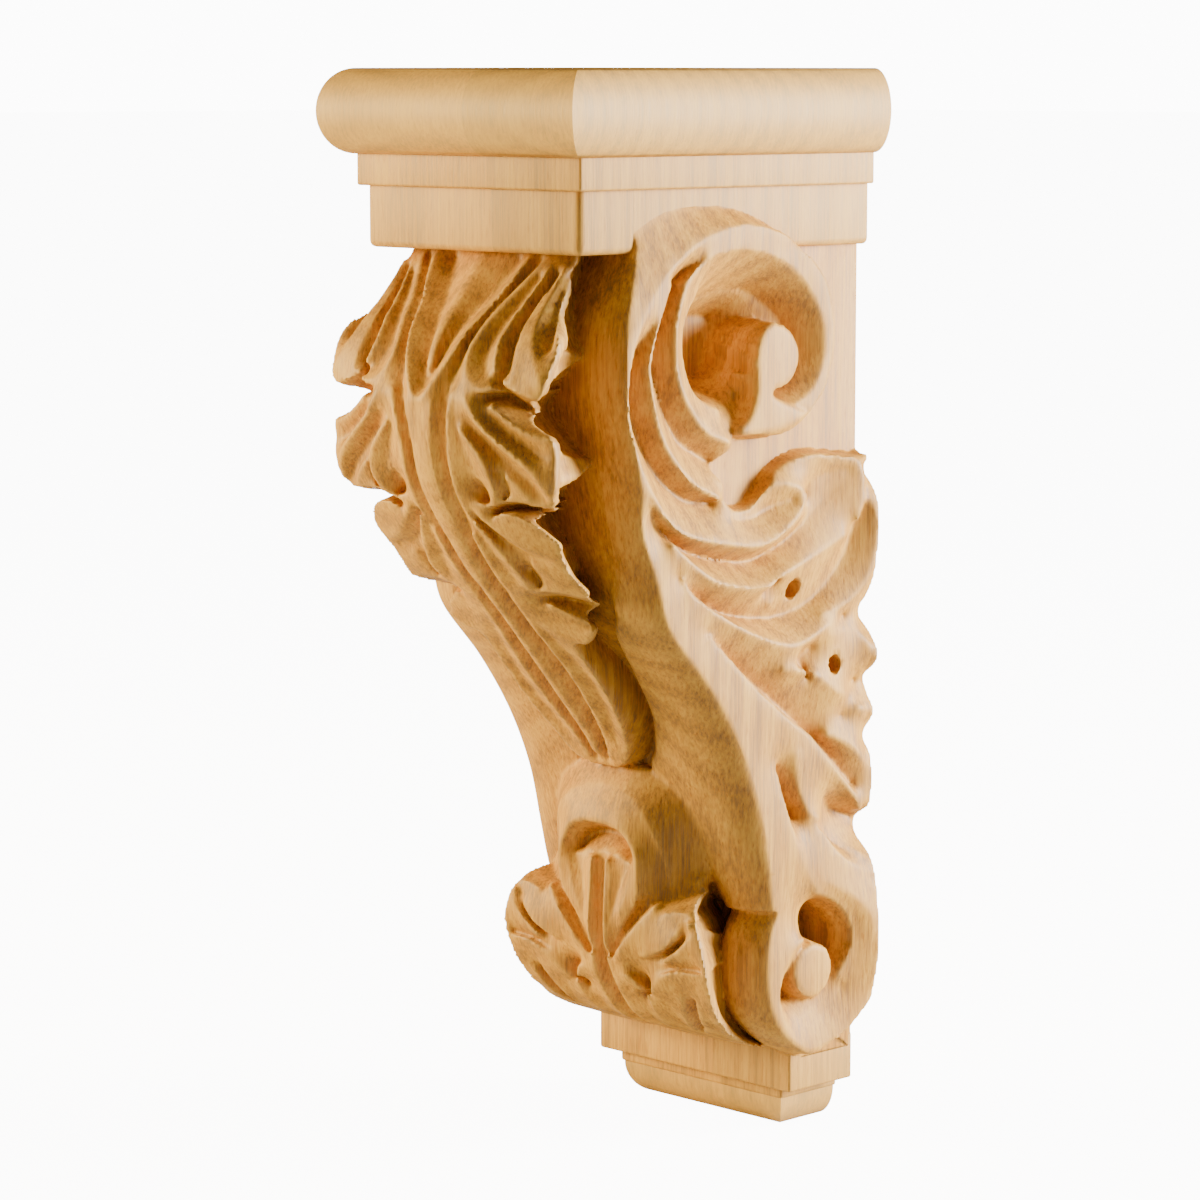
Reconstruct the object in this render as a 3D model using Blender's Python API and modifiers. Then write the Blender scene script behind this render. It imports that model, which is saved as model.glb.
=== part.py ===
"""A carved wooden corbel bracket: a moulded cap, a scrolled body with leaves, and a stepped foot.

The body is carved from two sides, as on the bench. The side drawing gives how far the wood
stands out to the left and right, and the front drawing gives how far it stands out from the wall.
Drawings are in millimetres at the drawn size, and the named sizes below set the real one.
"""

import bmesh
import bpy
import numpy as np
import openvdb

# Driving sizes, in metres. The back lies in the plane Y = 0 and the front faces -Y.
TOTAL_HEIGHT = 0.356
BODY_HALF_WIDTH = 0.0453
SIDE_RELIEF = 0.0095
BODY_PROJECTION = 0.1210

BULLNOSE_HEIGHT = 0.0276
BULLNOSE_SIDE_BULGE = 0.0075
BULLNOSE_FRONT_BULGE = 0.0107
BULLNOSE_STEPS = 14
FILLET_HEIGHT = 0.01015
FILLET_HALF_WIDTH = 0.0520
FILLET_DEPTH = 0.1353
FILLET_EDGE = 0.0008
FRIEZE_HEIGHT = 0.01995
FRIEZE_HALF_WIDTH = 0.0494
FRIEZE_DEPTH = 0.1331
FRIEZE_EDGE = 0.0022

FOOT_HEIGHT = 0.0280
FOOT_HALF_WIDTH = 0.0453
FOOT_DEPTH = 0.0310
FOOT_STEP_HEIGHT = 0.0040
FOOT_STEP_INSET = 0.0070
FOOT_HOLLOW_HEIGHT = 0.0110
FOOT_HOLLOW_INSET = 0.0080
FOOT_HOLLOW_STEPS = 6
FOOT_EDGE = 0.0010

VOXEL = 0.0017
CARVING_FACES = 8600
JOINT_OVERLAP = 0.0030
WALL_WASTE = 0.0060
SCROLL_RISE = 0.0150

COLLECTION_NAME = "corbel_bracket"

# The size at which the carving is drawn, in millimetres.
DRAWN_HALF_WIDTH = 45.3
DRAWN_RELIEF = 9.5
DRAWN_PROJECTION = 121.0
DRAWN_DEPTH = 165.0
CORNER_START = 0.72
CORNER_FULLNESS = 0.98
# Both in voxels: how soft a cut edge is, and how far the grid runs on round the wood.
SOFT_EDGE = 1.5
MARGIN = 3

TOP = TOTAL_HEIGHT / 2
BOTTOM = -TOTAL_HEIGHT / 2
FRIEZE_BOTTOM = TOP - BULLNOSE_HEIGHT - FILLET_HEIGHT - FRIEZE_HEIGHT
FOOT_TOP = BOTTOM + FOOT_HEIGHT

# Where the drawn body starts and ends, measured from the middle of the whole height.
DRAWN_TOP = 120.3
DRAWN_BOTTOM = -150.0

HEIGHT_SCALE = (FRIEZE_BOTTOM - FOOT_TOP) / (DRAWN_TOP - DRAWN_BOTTOM) * 1000
WIDTH_SCALE = BODY_HALF_WIDTH / DRAWN_HALF_WIDTH * 1000
RELIEF_SCALE = SIDE_RELIEF / DRAWN_RELIEF * 1000
DEPTH_SCALE = BODY_PROJECTION / DRAWN_PROJECTION * 1000


def smooth_curve(points, per_span=14):
    """A smooth curve through a few control points."""
    points = np.asarray(points, float)
    before = 2 * points[:1] - points[1:2]
    after = 2 * points[-1:] - points[-2:-1]
    padded = np.concatenate([before, points, after])
    t = np.linspace(0, 1, per_span, endpoint=False)[:, None]
    spans = []
    for a, b, c, d in zip(padded, padded[1:], padded[2:], padded[3:]):
        bend = (2 * a - 5 * b + 4 * c - d) * t**2 + (3 * b - a - 3 * c + d) * t**3
        spans.append(b + 0.5 * ((c - a) * t + bend))
    return np.concatenate(spans + [points[-1:]])


def profile(points, at):
    """The value of a drawn profile, given as (height, value) pairs, at each height."""
    curve = smooth_curve(points)
    order = np.argsort(curve[:, 0], kind="stable")
    return np.interp(at, curve[order, 0], curve[order, 1])


def laid_on_grid(curves, across, up, stiffness):
    """How hard, and to what height, the strokes pull each grid point."""
    pull = np.zeros((len(across), len(up)))
    total = np.zeros_like(pull)
    for curve in curves:
        i = (curve[:, 0] - across[0]) / (across[1] - across[0])
        j = (curve[:, 1] - up[0]) / (up[1] - up[0])
        inside = (i >= 0) & (i < len(across) - 1) & (j >= 0) & (j < len(up) - 1)
        i, j, height = i[inside], j[inside], curve[inside, 2]
        low_i, low_j = i.astype(int), j.astype(int)
        for step_i in (0, 1):
            for step_j in (0, 1):
                share = (1 - np.abs(i - low_i - step_i)) * (1 - np.abs(j - low_j - step_j))
                np.add.at(pull, (low_i + step_i, low_j + step_j), share * stiffness)
                np.add.at(total, (low_i + step_i, low_j + step_j), share * stiffness * height)
    return pull, total


def stretched_skin(strokes, across, up, stiffness=6.0, sweeps=140):
    """Heights over a grid, like a skin stretched over the strokes, which stay as creases."""
    curves = [smooth_curve(stroke) for stroke in strokes]
    skin = None
    for coarse in (16, 8, 4, 2, 1):
        wide = np.linspace(across[0], across[-1], max(4, len(across) // coarse))
        high = np.linspace(up[0], up[-1], max(4, len(up) // coarse))
        pull, total = laid_on_grid(curves, wide, high, stiffness)
        if skin is None:
            skin = np.full(pull.shape, total.sum() / pull.sum())
        else:
            rows = [np.interp(high, last_high, row) for row in skin]
            columns = [np.interp(wide, last_wide, column) for column in np.array(rows).T]
            skin = np.array(columns).T
        for _ in range(sweeps):
            edged = np.pad(skin, 1, mode="edge")
            near = edged[:-2, 1:-1] + edged[2:, 1:-1] + edged[1:-1, :-2] + edged[1:-1, 2:]
            skin = (near / 4 + total) / (1 + pull)
        last_wide, last_high = wide, high
    return skin


def inside_by(outline, across, up):
    """How far each grid point lies inside a closed outline; outside is negative."""
    closed = smooth_curve(list(outline) + [outline[0]], 8)
    x, y = np.meshgrid(across, up, indexing="ij")
    nearest = np.full(x.shape, np.inf)
    within = np.zeros(x.shape, bool)
    for (ax, ay), (bx, by) in zip(closed, closed[1:]):
        dx, dy = bx - ax, by - ay
        length = max(dx * dx + dy * dy, 1e-12)
        t = np.clip(((x - ax) * dx + (y - ay) * dy) / length, 0, 1)
        nearest = np.minimum(nearest, (x - ax - t * dx) ** 2 + (y - ay - t * dy) ** 2)
        if ay != by:
            within ^= ((ay > y) != (by > y)) & (x < (y - ay) / dy * dx + ax)
    return np.where(within, 1, -1) * np.sqrt(nearest)


# The side drawing: (distance from the wall, height, how far it stands out from the plain side).
VOLUTE_RIM = [
    (-102, 39, 9.5), (-110, 51, 9.5), (-116, 66, 9.5), (-117, 80, 9.5), (-113, 95, 9.5),
    (-105, 108, 9.5), (-92, 119, 9.5), (-80, 125, 9.5), (-62, 128, 9.5), (-40, 123, 9.5),
    (-28, 114, 9), (-21, 100, 9), (-20.5, 86, 9), (-25, 73, 9), (-35, 63.5, 9), (-47, 60, 8),
]
VOLUTE_RIM_INSIDE = [
    (-92, 110, 9), (-78, 119.5, 9.3), (-55, 119.5, 9.3), (-35, 109, 9), (-25, 92, 8.8),
    (-30, 75, 8.8), (-44, 68.5, 8.5), (-55, 73, 8), (-60, 80, 6),
]
VOLUTE_WALL_FOOT = [
    (-118, 121, 4), (-107, 129, 4), (-92, 134, 4), (-66, 133.5, 4), (-47, 127, 4), (-38, 122.5, 3),
]
COVE_FOOT = [
    (-62, 74, 2), (-50, 73, 1), (-41, 78, 0), (-36, 87, 0), (-38, 96, -1), (-46, 103, -3),
    (-56, 107, -4), (-70, 105, -6), (-80, 100, -6), (-86, 90, -5), (-84, 80, -5), (-74, 73, -3),
]
HOLLOW_FLOOR = [
    (-58, 98, -14), (-70, 98, -14), (-78, 90, -14), (-74, 80, -14), (-64, 80, -14), (-58, 90, -14),
]
SIDE_STROKES = {
    "volute rim": VOLUTE_RIM,
    "volute rim inside": VOLUTE_RIM_INSIDE,
    "volute wall foot": VOLUTE_WALL_FOOT,
    "volute cove foot": COVE_FOOT,
    "volute hollow floor": HOLLOW_FLOOR,
    "first lobe ridge": [
        (-88, 113, 8.5), (-93, 105, 9), (-95.5, 92, 9), (-93, 78, 9), (-82, 64, 8.5), (-70, 59, 8),
    ],
    "first lobe inside": [(-82, 108, 5), (-89, 98, 6), (-89.5, 88, 6), (-84, 75, 6), (-72, 69, 5)],
    "first groove": [
        (-83, 118, 8), (-90, 113, 4), (-97, 104, 2.5), (-101.5, 87, 2.5), (-91, 63, 2.5),
        (-74, 53, 1),
    ],
    "second lobe ridge": [
        (-98, 110, 9.3), (-106.5, 90, 9.5), (-107, 80, 9.5), (-101, 62, 9), (-88, 48, 8.5),
        (-74, 41, 8),
    ],
    "second groove": [
        (-105.5, 98, 8), (-112.5, 85, 3.5), (-112.5, 75, 2.5), (-101, 53, 2.5), (-87, 42, 2.5),
        (-74, 39.5, 2),
    ],
    "third lobe ridge": [
        (-107, 43, 9), (-93, 32, 9.5), (-75, 27, 9.5), (-55, 25, 9.5), (-40, 31, 9), (-32.5, 39, 8),
    ],
    "third lobe dish": [(-66, 34.5, 5.5), (-57, 33.5, 4.5), (-48, 36, 4), (-38, 38.5, 6)],
    "third lobe end": [(-50, 43, 6), (-42, 43.5, 7.5), (-34.5, 41, 8)],
    "third groove": [
        (-106, 40.5, 8), (-100, 34, 4.5), (-85, 24.5, 3), (-62, 19.5, 2.5), (-52, 20, 2.5),
        (-36, 26.5, 3.5), (-22, 37, 4.5), (-13, 43.5, 7),
    ],
    "fourth lobe ridge": [
        (-96, 28, 9), (-86, 20, 9.5), (-75, 14, 10), (-55, 11, 10), (-44, 14.5, 9), (-27, 20, 8),
        (-14, 25, 8),
    ],
    "fourth lobe tip": [
        (-45, 49, 4), (-36, 51, 5.5), (-26.5, 52, 6.5), (-11, 50, 8), (-7, 45.5, 9), (-6, 38, 9),
        (-8, 30, 9),
    ],
    "fourth lobe dish": [(-31, 38, 2.5), (-28, 42, 4), (-20, 45.5, 5), (-12, 46, 7)],
    "fourth groove": [
        (-95, 19, 8), (-80, 8, 3.5), (-63, 2, 2.5), (-42, 0, 2.5), (-25, 5, 3.5), (-13, 16, 4.5),
        (-8, 28, 6), (-5, 34, 8),
    ],
    "fourth gouge": [(-46.5, 12.5, 5), (-50.5, 9, 4.5), (-47, 5, 5)],
    "sixth gouge": [(-28.5, -11.5, 5.5), (-34, -15, 4.5), (-31, -20.5, 5.5)],
    "fifth lobe ridge": [
        (-92, 17, 9), (-82, 8, 9.5), (-62, -3, 10), (-40, -9.5, 10), (-22, -4, 9), (-13, -2.5, 6),
    ],
    "fifth lobe crest": [(-5, 40, 8), (-1, 30, 10.5), (-3, 12, 9.5), (-12, 3, 8.5), (-25, -1, 8)],
    "sixth lobe": [(-44, -17, 9), (-30, -20, 9), (-16, -28, 9), (-6, -25, 4)],
    "sixth lobe hook": [(-22, -8, 9), (-10, -8, 8), (-3, -14, 10), (-6, -19, 8)],
    "ball": [(-14, -36, 6), (-7, -34, 9), (-3, -37, 8)],
    "fifth groove": [
        (-80, -1, 8), (-64, -14, 3), (-48, -25, 2.5), (-32, -37, 2.5), (-18, -49, 3.5),
        (-8, -59.5, 5),
    ],
    "seventh lobe ridge": [
        (-78, -3, 9), (-60, -20, 9), (-42, -34, 9), (-30, -42, 9), (-12, -60, 9), (-5, -68, 8),
    ],
    "seventh lobe back": [(-22, -41, 8), (-10, -47, 9), (-3, -55, 8), (-3, -66, 8)],
    "tail edge": [(-47, -47, 7), (-43, -62, 8.5), (-36, -80, 9), (-28, -92, 9)],
    "tail hollow": [(-45, -50, 4), (-41, -60, 1), (-35, -67, 0)],
    "tail hollow rim": [(-38, -46, 9), (-36, -56, 8), (-31, -66, 8), (-26, -69, 8)],
    "tail gap": [(-20, -63.5, 4), (-14, -68, 1), (-3, -72, 1)],
    "tail ridge": [(-27, -71, 8), (-15, -84, 9.5), (-2, -91.5, 10)],
    "tail groove": [(-25, -70.5, 5), (-17, -78, 5), (-5, -84, 8)],
    "tail band": [(-24, -90, 9.5), (-10, -98, 11), (-3, -106, 12), (-3, -120, 11)],
    "lower hollow rim": [
        (-28, -93, 9), (-18, -98, 9), (-11, -106, 9), (-10, -114, 9), (-15, -124, 7.5),
    ],
    "lower hollow floor": [(-24, -99, -8), (-17, -106, -10), (-16, -116, -8)],
    "lower volute edge": [
        (-33, -109, 8), (-40, -114, 8), (-44.5, -124, 8), (-43, -134, 8), (-37, -143, 8),
        (-27, -147, 8), (-12, -143, 8.5), (-1, -133, 9.5),
    ],
    "lower volute dish": [(-13, -128, 6.5), (-22, -135, 6), (-32, -136, 6)],
    "lower notch": [(-39, -123, 2), (-38, -127, -2), (-33, -129, 2)],
    "back edge": [
        (0, 46, 2), (0, 38, 9), (0, 28, 11), (0, 18, 10), (0, 10, 8.5), (0, 3, 5), (0, -2.5, 0.5),
        (0, -8, 6), (0, -15, 10.5), (0, -20, 9), (0, -24, 4), (0, -30, 6), (0, -36, 9),
        (0, -44, 4), (0, -52, 8), (0, -67, 7.5), (0, -72, 1), (0, -78, 1), (0, -87, 9),
        (0, -104, 12), (0, -120, 12), (0, -134, 9),
    ],
    "front": [(-162, 120, 9), (-150, 60, 9), (-135, 30, 9), (-120, -10, 9), (-90, -60, 9)],
    "lower front": [(-80, -90, 8), (-70, -120, 8), (-70, -150, 8)],
}
PLAIN_SIDE = [
    (-66, 60.5), (-47, 59.5), (-38, 62), (-30, 68), (-24, 75), (-20, 90), (-23, 107), (-30, 116),
    (-38, 123), (-30, 142), (10, 142), (10, 55), (-1, 51), (-9, 51), (-27, 53), (-38, 51.5),
    (-46, 47.5), (-50, 43), (-57, 37.5), (-64, 37), (-69, 41), (-69.5, 46), (-73, 50), (-70.5, 53.5),
    (-66, 57),
]
PLAIN_FOOT = [
    (8, -124), (-2, -136), (-12, -144), (-27, -149), (-38, -148), (-46, -158), (8, -160),
]
# Flat-topped bosses: (outline, how far the top stands out from the plain side).
BOSSES = {
    "upper eye": (
        [
            (-50.5, 97.5), (-44, 95.5), (-39, 90.5), (-37.5, 84.5), (-40, 78.5), (-44, 75.5),
            (-49.5, 73.8), (-45, 71.5), (-38, 69), (-33, 66.5), (-40, 62), (-52.5, 60),
            (-64.5, 60.5), (-66, 63.5), (-62.5, 66.5), (-60, 71.5), (-59, 77), (-59.5, 84),
            (-58.5, 90), (-55.5, 95),
        ],
        9.5,
    ),
    "lower eye": (
        [
            (-28, -110), (-21, -113), (-18, -120), (-21, -127), (-28, -130), (-35, -127),
            (-38, -120), (-35, -113),
        ],
        8.0,
    ),
}
BOSS_ROUNDING = (1.2, 3.0)
DRILLED = {
    "fourth lobe eye": (-36.5, 8.5, 2.8, -3.0),
    "sixth lobe eye": (-19, -18, 2.3, -4.0),
}

# The front drawing: profiles are (height, how far out), strokes (sideways, height, from profile).
SCROLL_PROFILE = [
    (126, 112), (121, 112), (100, 120), (80, 121), (60, 118), (45, 115), (30, 112), (15, 108),
    (0, 104), (-19, 88), (-38, 75.5), (-58, 66.5), (-79, 60.5), (-97, 55), (-98, 52.5),
    (-99, 52.5), (-104, 55.5), (-112, 57.6), (-122, 57.6), (-131, 55.5), (-138, 51), (-144, 44),
    (-149, 35), (-154, 28),
]
SCROLL_CORNER = [
    (126, 5), (60, 5), (20, 9), (-20, 13), (-60, 16), (-95, 13), (-120, 13), (-140, 12), (-150, 9),
]
SCROLL_SINK = [
    (-80, 0), (-88, 3), (-95, 8), (-102, 15), (-112, 20), (-130, 21), (-140, 15), (-148, 6),
    (-154, 0),
]
SCROLL_INNER_EDGE = [
    (-80, 24), (-88, 29), (-97, 33), (-108, 31.5), (-120, 31), (-132, 32), (-141, 35), (-150, 40),
]
SCROLL_INNER_ROUND = 11.0

LEAF_PROFILE = [
    (126, 125), (118, 130), (107, 138), (96, 147), (84, 153), (74, 155.5), (60, 154), (50, 151.7),
    (40, 146.7), (20, 133), (0, 115), (-20, 97.5), (-40, 81), (-50, 75), (-60, 68),
]
LEAF_ROUND = [(0, 0), (10, -0.3), (20, -0.8), (30, -1.8), (40, -3.5), (50, -5.5), (60, -8)]
LEAF_UNDERCUT = [(130, 0.28), (0, 0.28), (-12, 0.1), (-30, 0), (-60, 0)]
LEAF_OUTLINE = [
    (-60, 160), (38, 160), (38, 126), (38.5, 117), (40.5, 108), (43, 101), (49, 96), (51, 91),
    (50.5, 85),
    (49, 79), (45, 76), (40, 75.5), (38, 74), (42, 71), (47, 69.5), (50.5, 66), (51.5, 60),
    (51.5, 53), (50, 47), (46, 42.5), (40, 41.5), (37, 39), (40, 35.5), (43.5, 31), (42, 26),
    (41, 20), (42.5, 14), (39, 10.5), (34, 8), (32, 5.5), (34, 1), (33, -1.5), (28, -5),
    (22.5, -6), (22, -15), (21.5, -25), (19.5, -35), (14, -47), (8, -51), (0, -52), (-60, -52),
]
LEAF_STROKES = {
    "rib crest": [
        (0, 72, 1.2), (0, 45, 1.2), (0, 20, 1.3), (0, 0, 2), (0, -25, 2.2), (0, -46, 1.2),
    ],
    "rib shoulder": [(6, 74, 0.8), (4, 62, 0.8), (4, 45, 0.8), (3.2, 30, 0.8), (2.5, 15, 1)],
    "rib groove": [
        (26, 118, -2.5), (19.5, 108.5, -2.5), (16.5, 102, -2.5), (14, 94.5, -2.5), (12.5, 87, -2.5),
        (11, 78.5, -2.5), (9.2, 68, -2.5), (8.2, 57.5, -2.5), (7.5, 45, -2.5), (6.5, 33, -2.5),
        (5.2, 20, -2.5), (4, 9, -2.2), (4.5, 0, -1.8), (7, -8, -1.4), (8.5, -18, -1.2),
        (8, -28, -1.2), (6, -38, -1.2), (4, -47, -1),
    ],
    "arm crest": [
        (2, 75, 1.2), (8.5, 85, 1), (13, 95, 0.8), (16.5, 103, 0.6), (19.5, 111, 0.5),
        (21.5, 118, 0.5),
    ],
    "notch groove": [
        (0, 76, -1), (1.5, 83, -3), (4, 92.5, -3.8), (7.5, 101.5, -4.2), (12, 111.5, -4.5),
        (15, 118, -4.5),
    ],
    "notch tongue": [(0, 84, -1.5), (0, 95, -0.5), (0, 120, -0.5)],
    "first lip": [
        (28.5, 118, 0), (24, 109.5, 0.3), (21, 103.5, 0.5), (18.5, 96, 0.5), (17, 90.5, 0.5),
        (18.5, 84, 0.5), (23, 80, 0.3), (27, 78.8, 0.2), (30.5, 79.8, 0.2),
    ],
    "first hollow": [
        (29.5, 113, -1.5), (26.5, 104.5, -2.2), (24, 96.5, -2.8), (22.5, 90, -2.8), (25, 84.5, -2),
    ],
    "first hollow edge": [
        (32, 116, 0.2), (30, 107, 0.4), (28.8, 100, 0.5), (28.2, 92.5, 0.5), (30, 85, 0.3),
    ],
    "first groove": [
        (34, 114, -3), (32.5, 106.5, -3.5), (31.8, 99, -3.8), (31, 92, -3.8), (32, 85.5, -4),
        (31, 80.5, -5),
    ],
    "first strip": [(35.5, 108, 0), (35, 99, 0.3), (36.5, 90, 0.3), (37, 82, 0)],
    "first ridge": [
        (37.5, 116, 0), (37.5, 108, 0.5), (38.5, 101, 1), (41, 94, 1.2), (45.5, 87, 1.2),
        (49, 81, 0.5),
    ],
    "first scoop": [(39, 112, -3), (40.5, 104, -3.2), (43.5, 98, -3.5), (46, 92, -2.5)],
    "first edge": [
        (38.5, 118, -3), (40, 111, -3), (43, 103, -1.5), (48, 97, 0), (50.5, 91, 0.5),
        (50, 85, 0.3), (49, 79, -0.5),
    ],
    "first end": [(33.5, 82, -0.5), (37.5, 80.2, -0.5), (42.5, 78.5, -0.5), (47, 77.5, -1)],
    "first pocket": [(27, 77.2, -7), (31, 77, -9), (37, 75.5, -11), (43, 74, -12), (49, 73.5, -13)],
    "second top": [
        (31, 74, -1.5), (36.5, 71, -2), (41.5, 69, -2), (45.5, 68, -2), (50, 68, -2.5),
    ],
    "second scoop": [
        (26, 73.5, -1.5), (30.5, 69.5, -3), (36.5, 65.5, -3.5), (43, 62.5, -3.5), (48, 60, -2.5),
    ],
    "second ridge": [
        (20.5, 76, 0.8), (23, 72.5, 1), (26.5, 68, 1), (33, 63, 1.2), (39.5, 58.5, 1.2),
        (44, 54.5, 1), (47, 50, 0.8), (48.5, 46, 0),
    ],
    "second groove": [
        (20, 68.5, -1.8), (24, 64, -3), (29, 60, -3.2), (34.5, 55.5, -3.2), (41, 50.5, -2.8),
        (45, 46, -1.8),
    ],
    "second face": [(33, 52, -1), (37, 48.5, -0.3), (40, 45, 0)],
    "second inner ridge": [
        (17, 66, 0.4), (22, 61.5, 0.8), (25.5, 57, 1), (27.5, 52, 1), (27.5, 47, 0.5), (25, 43, 0),
    ],
    "second inner groove": [(30, 53, -2.2), (31, 48, -2.8), (29.5, 44.5, -3)],
    "second hollow": [(15, 73, -0.5), (16, 65, -1.2), (18.5, 57, -1.8), (22, 50, -1.8)],
    "second lip": [(14, 77.5, 0), (12.2, 68.5, 0), (11, 58, 0), (11, 45.5, 0), (11.5, 38, 0)],
    "second eye": [(19.5, 49, -4), (19, 45.5, -6), (20.5, 43, -5)],
    "second end": [
        (15.5, 41.5, -0.5), (22, 42, -0.5), (29, 44, -0.5), (34, 44.8, -0.5), (41, 43.5, -0.5),
        (46, 43.5, -1),
    ],
    "second pocket": [(22, 40, -5), (27, 41.5, -8), (33, 41.5, -10), (39, 40.5, -11), (45, 39.5, -12)],
    "third top": [(23, 38.5, 0), (29, 39.2, 0), (34, 38.2, 0), (38, 36, 0), (43, 32.5, 0)],
    "third groove": [
        (12.5, 38.5, -2), (16, 33.5, -2.8), (20.5, 29.5, -2.8), (27, 26, -2.5), (34, 24.5, -1.5),
    ],
    "third slab": [(16.5, 38.5, 0.5), (24, 32.5, 0.8), (30, 28.8, 0.8), (37, 27, 0.3), (41, 28.5, 0)],
    "third lip": [(8.8, 31, 0.2), (8.8, 22.5, 0.2), (9, 15, 0.2), (12, 11.8, 0), (16, 12, 0)],
    "third ridge": [(13, 36, 0.5), (16.5, 29.5, 0.6), (19, 23, 0.9), (21, 18.5, 0.9), (19.5, 14, 0)],
    "third hollow": [(11.5, 32, -1), (13, 24, -1.3), (15.5, 17, -1.3)],
    "third eye": [(22.8, 21, -4.5), (22.5, 18.5, -5), (23.5, 16, -4)],
    "third face": [(28, 22, -0.8), (33, 19.5, -0.8), (38, 17.5, -0.8)],
    "third end": [(18.5, 12.5, -0.5), (24, 13.5, -0.8), (32, 13.8, -0.8), (38.5, 13, -1), (41.5, 12.5, -1)],
    "third pocket": [(19, 10.3, -4), (25, 10.5, -8), (31, 9, -10), (37, 7.5, -12)],
    "stem shelf": [(21.5, 8, -1.5), (25.5, 6, -1.8), (30, 3.8, -1.8), (33.5, 1.5, -2)],
    "stem tip": [(12, 5, 0.2), (16, -1, 0.2), (21.5, -4.6, 0.3), (28, -4, 0.3), (33, -0.5, 0)],
    "stem edge": [
        (10.5, 8, -0.2), (12, -1, 0), (14.5, -8, 0.3), (18, -14, 0.4), (20, -25, 0.4),
        (18.5, -35, 0.4), (13, -47, 0.2),
    ],
}

LOW_LEAF_PROFILE = [
    (-45, 66), (-52, 71), (-60, 75), (-68, 77.5), (-80, 77.5), (-108, 77.5), (-121, 74),
    (-130, 69), (-137, 63), (-142, 55), (-146, 44), (-149, 24), (-151, 8),
]
LOW_LEAF_ROUND = [(0, 0), (20, -0.4), (30, -0.9), (40, -1.7), (47, -2.6), (60, -5)]
LOW_LEAF_UNDERCUT = [(-40, 0), (-84, 0), (-96, 0.75), (-150, 0.75)]
LOW_LEAF_OUTLINE = [
    (-60, -49.5), (0, -49.5), (12, -50.5), (20, -54), (28, -59), (32.5, -68), (34, -77), (34.5, -85), (35, -89),
    (40, -94), (44, -100), (46.8, -107), (47.5, -115), (46.5, -124), (44.5, -133), (43, -141),
    (42, -150), (40, -180), (-60, -180),
]
LOW_LEAF_STROKES = {
    "hood edge": [
        (0, -50, -0.5), (12, -51, -1.5), (20, -54.5, -4), (28, -59.5, -8), (32, -68, -12.5),
        (33.5, -77, -15), (34, -85, -16.5),
    ],
    "hood": [(0, -58, 0), (9, -60, -0.5), (17, -64, -1.5), (22, -72, -3.5), (25, -82, -6.5), (25, -90, -8)],
    "hood lip": [
        (0, -70, 0), (6, -70.2, 0), (11, -71.5, 0), (15.5, -76, 0), (18, -82, 0), (18, -89, -0.5),
        (17, -94.5, -1), (12.5, -100.5, -1.5), (6, -109.5, -2), (3.5, -115, -2),
    ],
    "hood shade": [(0, -76, -6.5), (5, -76.5, -6.5), (9.5, -79, -6), (12.5, -83, -5)],
    "hood floor": [(0, -81.5, -3.5), (7, -81.5, -3.3), (12, -85, -3)],
    "hood foot": [(18, -96, -3.5), (21, -95, -5), (27.5, -93.5, -8.5), (33, -91.5, -12), (36, -90, -14)],
    "vein": [(0, -82, -4), (0, -108, -3.5), (0, -125, -3.5), (0, -143, -3)],
    "vein edge": [
        (3.8, -82.5, -1), (4, -97.5, -0.3), (4, -107, 0), (4, -119, 0), (4, -130, 0), (4.5, -142, 0),
    ],
    "inner groove": [(13, -81.5, -3), (10, -87, -3), (7.5, -96, -2.2), (5.5, -103, -1)],
    "inner leaf": [(15.5, -84, -1), (13.5, -92, -1), (10, -100, -0.8)],
    "upper groove": [(20, -96.5, -5), (13.5, -103.5, -4.5), (8, -111, -3.5), (5.5, -115, -2.5)],
    "upper edge": [(25, -96, -2), (18.5, -103, -0.3), (12.5, -109.5, 0), (6.5, -115.5, 0)],
    "upper crest": [(30, -97.5, -1.5), (38, -96.5, -2), (42, -98, -1.5)],
    "side groove": [(40, -100.5, -3.5), (35, -107, -3.5), (28.5, -111.5, -3.5), (20, -114.5, -2)],
    "side groove top": [(41.5, -99, 0.5), (36, -105, 0.5), (29.5, -109.8, 0.5), (21, -113.2, 0)],
    "side groove foot": [(42.5, -104, 0.3), (37, -109, 0.3), (30, -113.3, 0.3)],
    "side edge": [
        (40, -94.5, -4), (44, -100, -0.5), (46.3, -107, 0.5), (46.8, -115, 0.5), (46, -124, 0.5),
        (44, -133, 0),
    ],
    "eye": [(13, -119.5, -3), (16, -122.5, -5.5), (16.5, -126, -6.5), (14.5, -128.5, -4.5)],
    "low ridge": [
        (20, -126, 0.3), (24, -122.5, 0.8), (30, -118.5, 0.8), (36, -116.5, 0.5), (45, -116, 0.5),
    ],
    "low split": [(26, -117, -1.5), (34, -115.3, -1.8), (44, -114.8, -1.8)],
    "oval": [
        (4.8, -127, 0), (6.5, -123.5, 0.4), (10, -121.5, 0.6), (13.5, -124, 0.4), (17, -130, 0.2),
        (15.5, -141, 0),
    ],
    "oval hollow": [(9, -126, -1), (10.5, -134, -1.2), (11, -142, -1)],
    "low hollow": [(24, -130, -0.8), (26, -138, -0.8)],
    "low groove": [(36, -127, -4), (33, -133, -4), (30, -139.5, -3.5)],
    "low groove edge": [(39, -128, 0.3), (36, -136, 0.3)],
    "low groove inner edge": [(33, -126, 0), (30, -133, 0), (27, -140, 0)],
    "bottom": [(44, -135, -1), (35, -138.5, -0.5), (20, -141.5, -0.5), (4.5, -143, -0.5)],
}


def scaled(strokes, across, height):
    """Drawn strokes at the real size."""
    return [
        [(a * across, drawn_height(b), c * height) for a, b, c in stroke] for stroke in strokes
    ]


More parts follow.
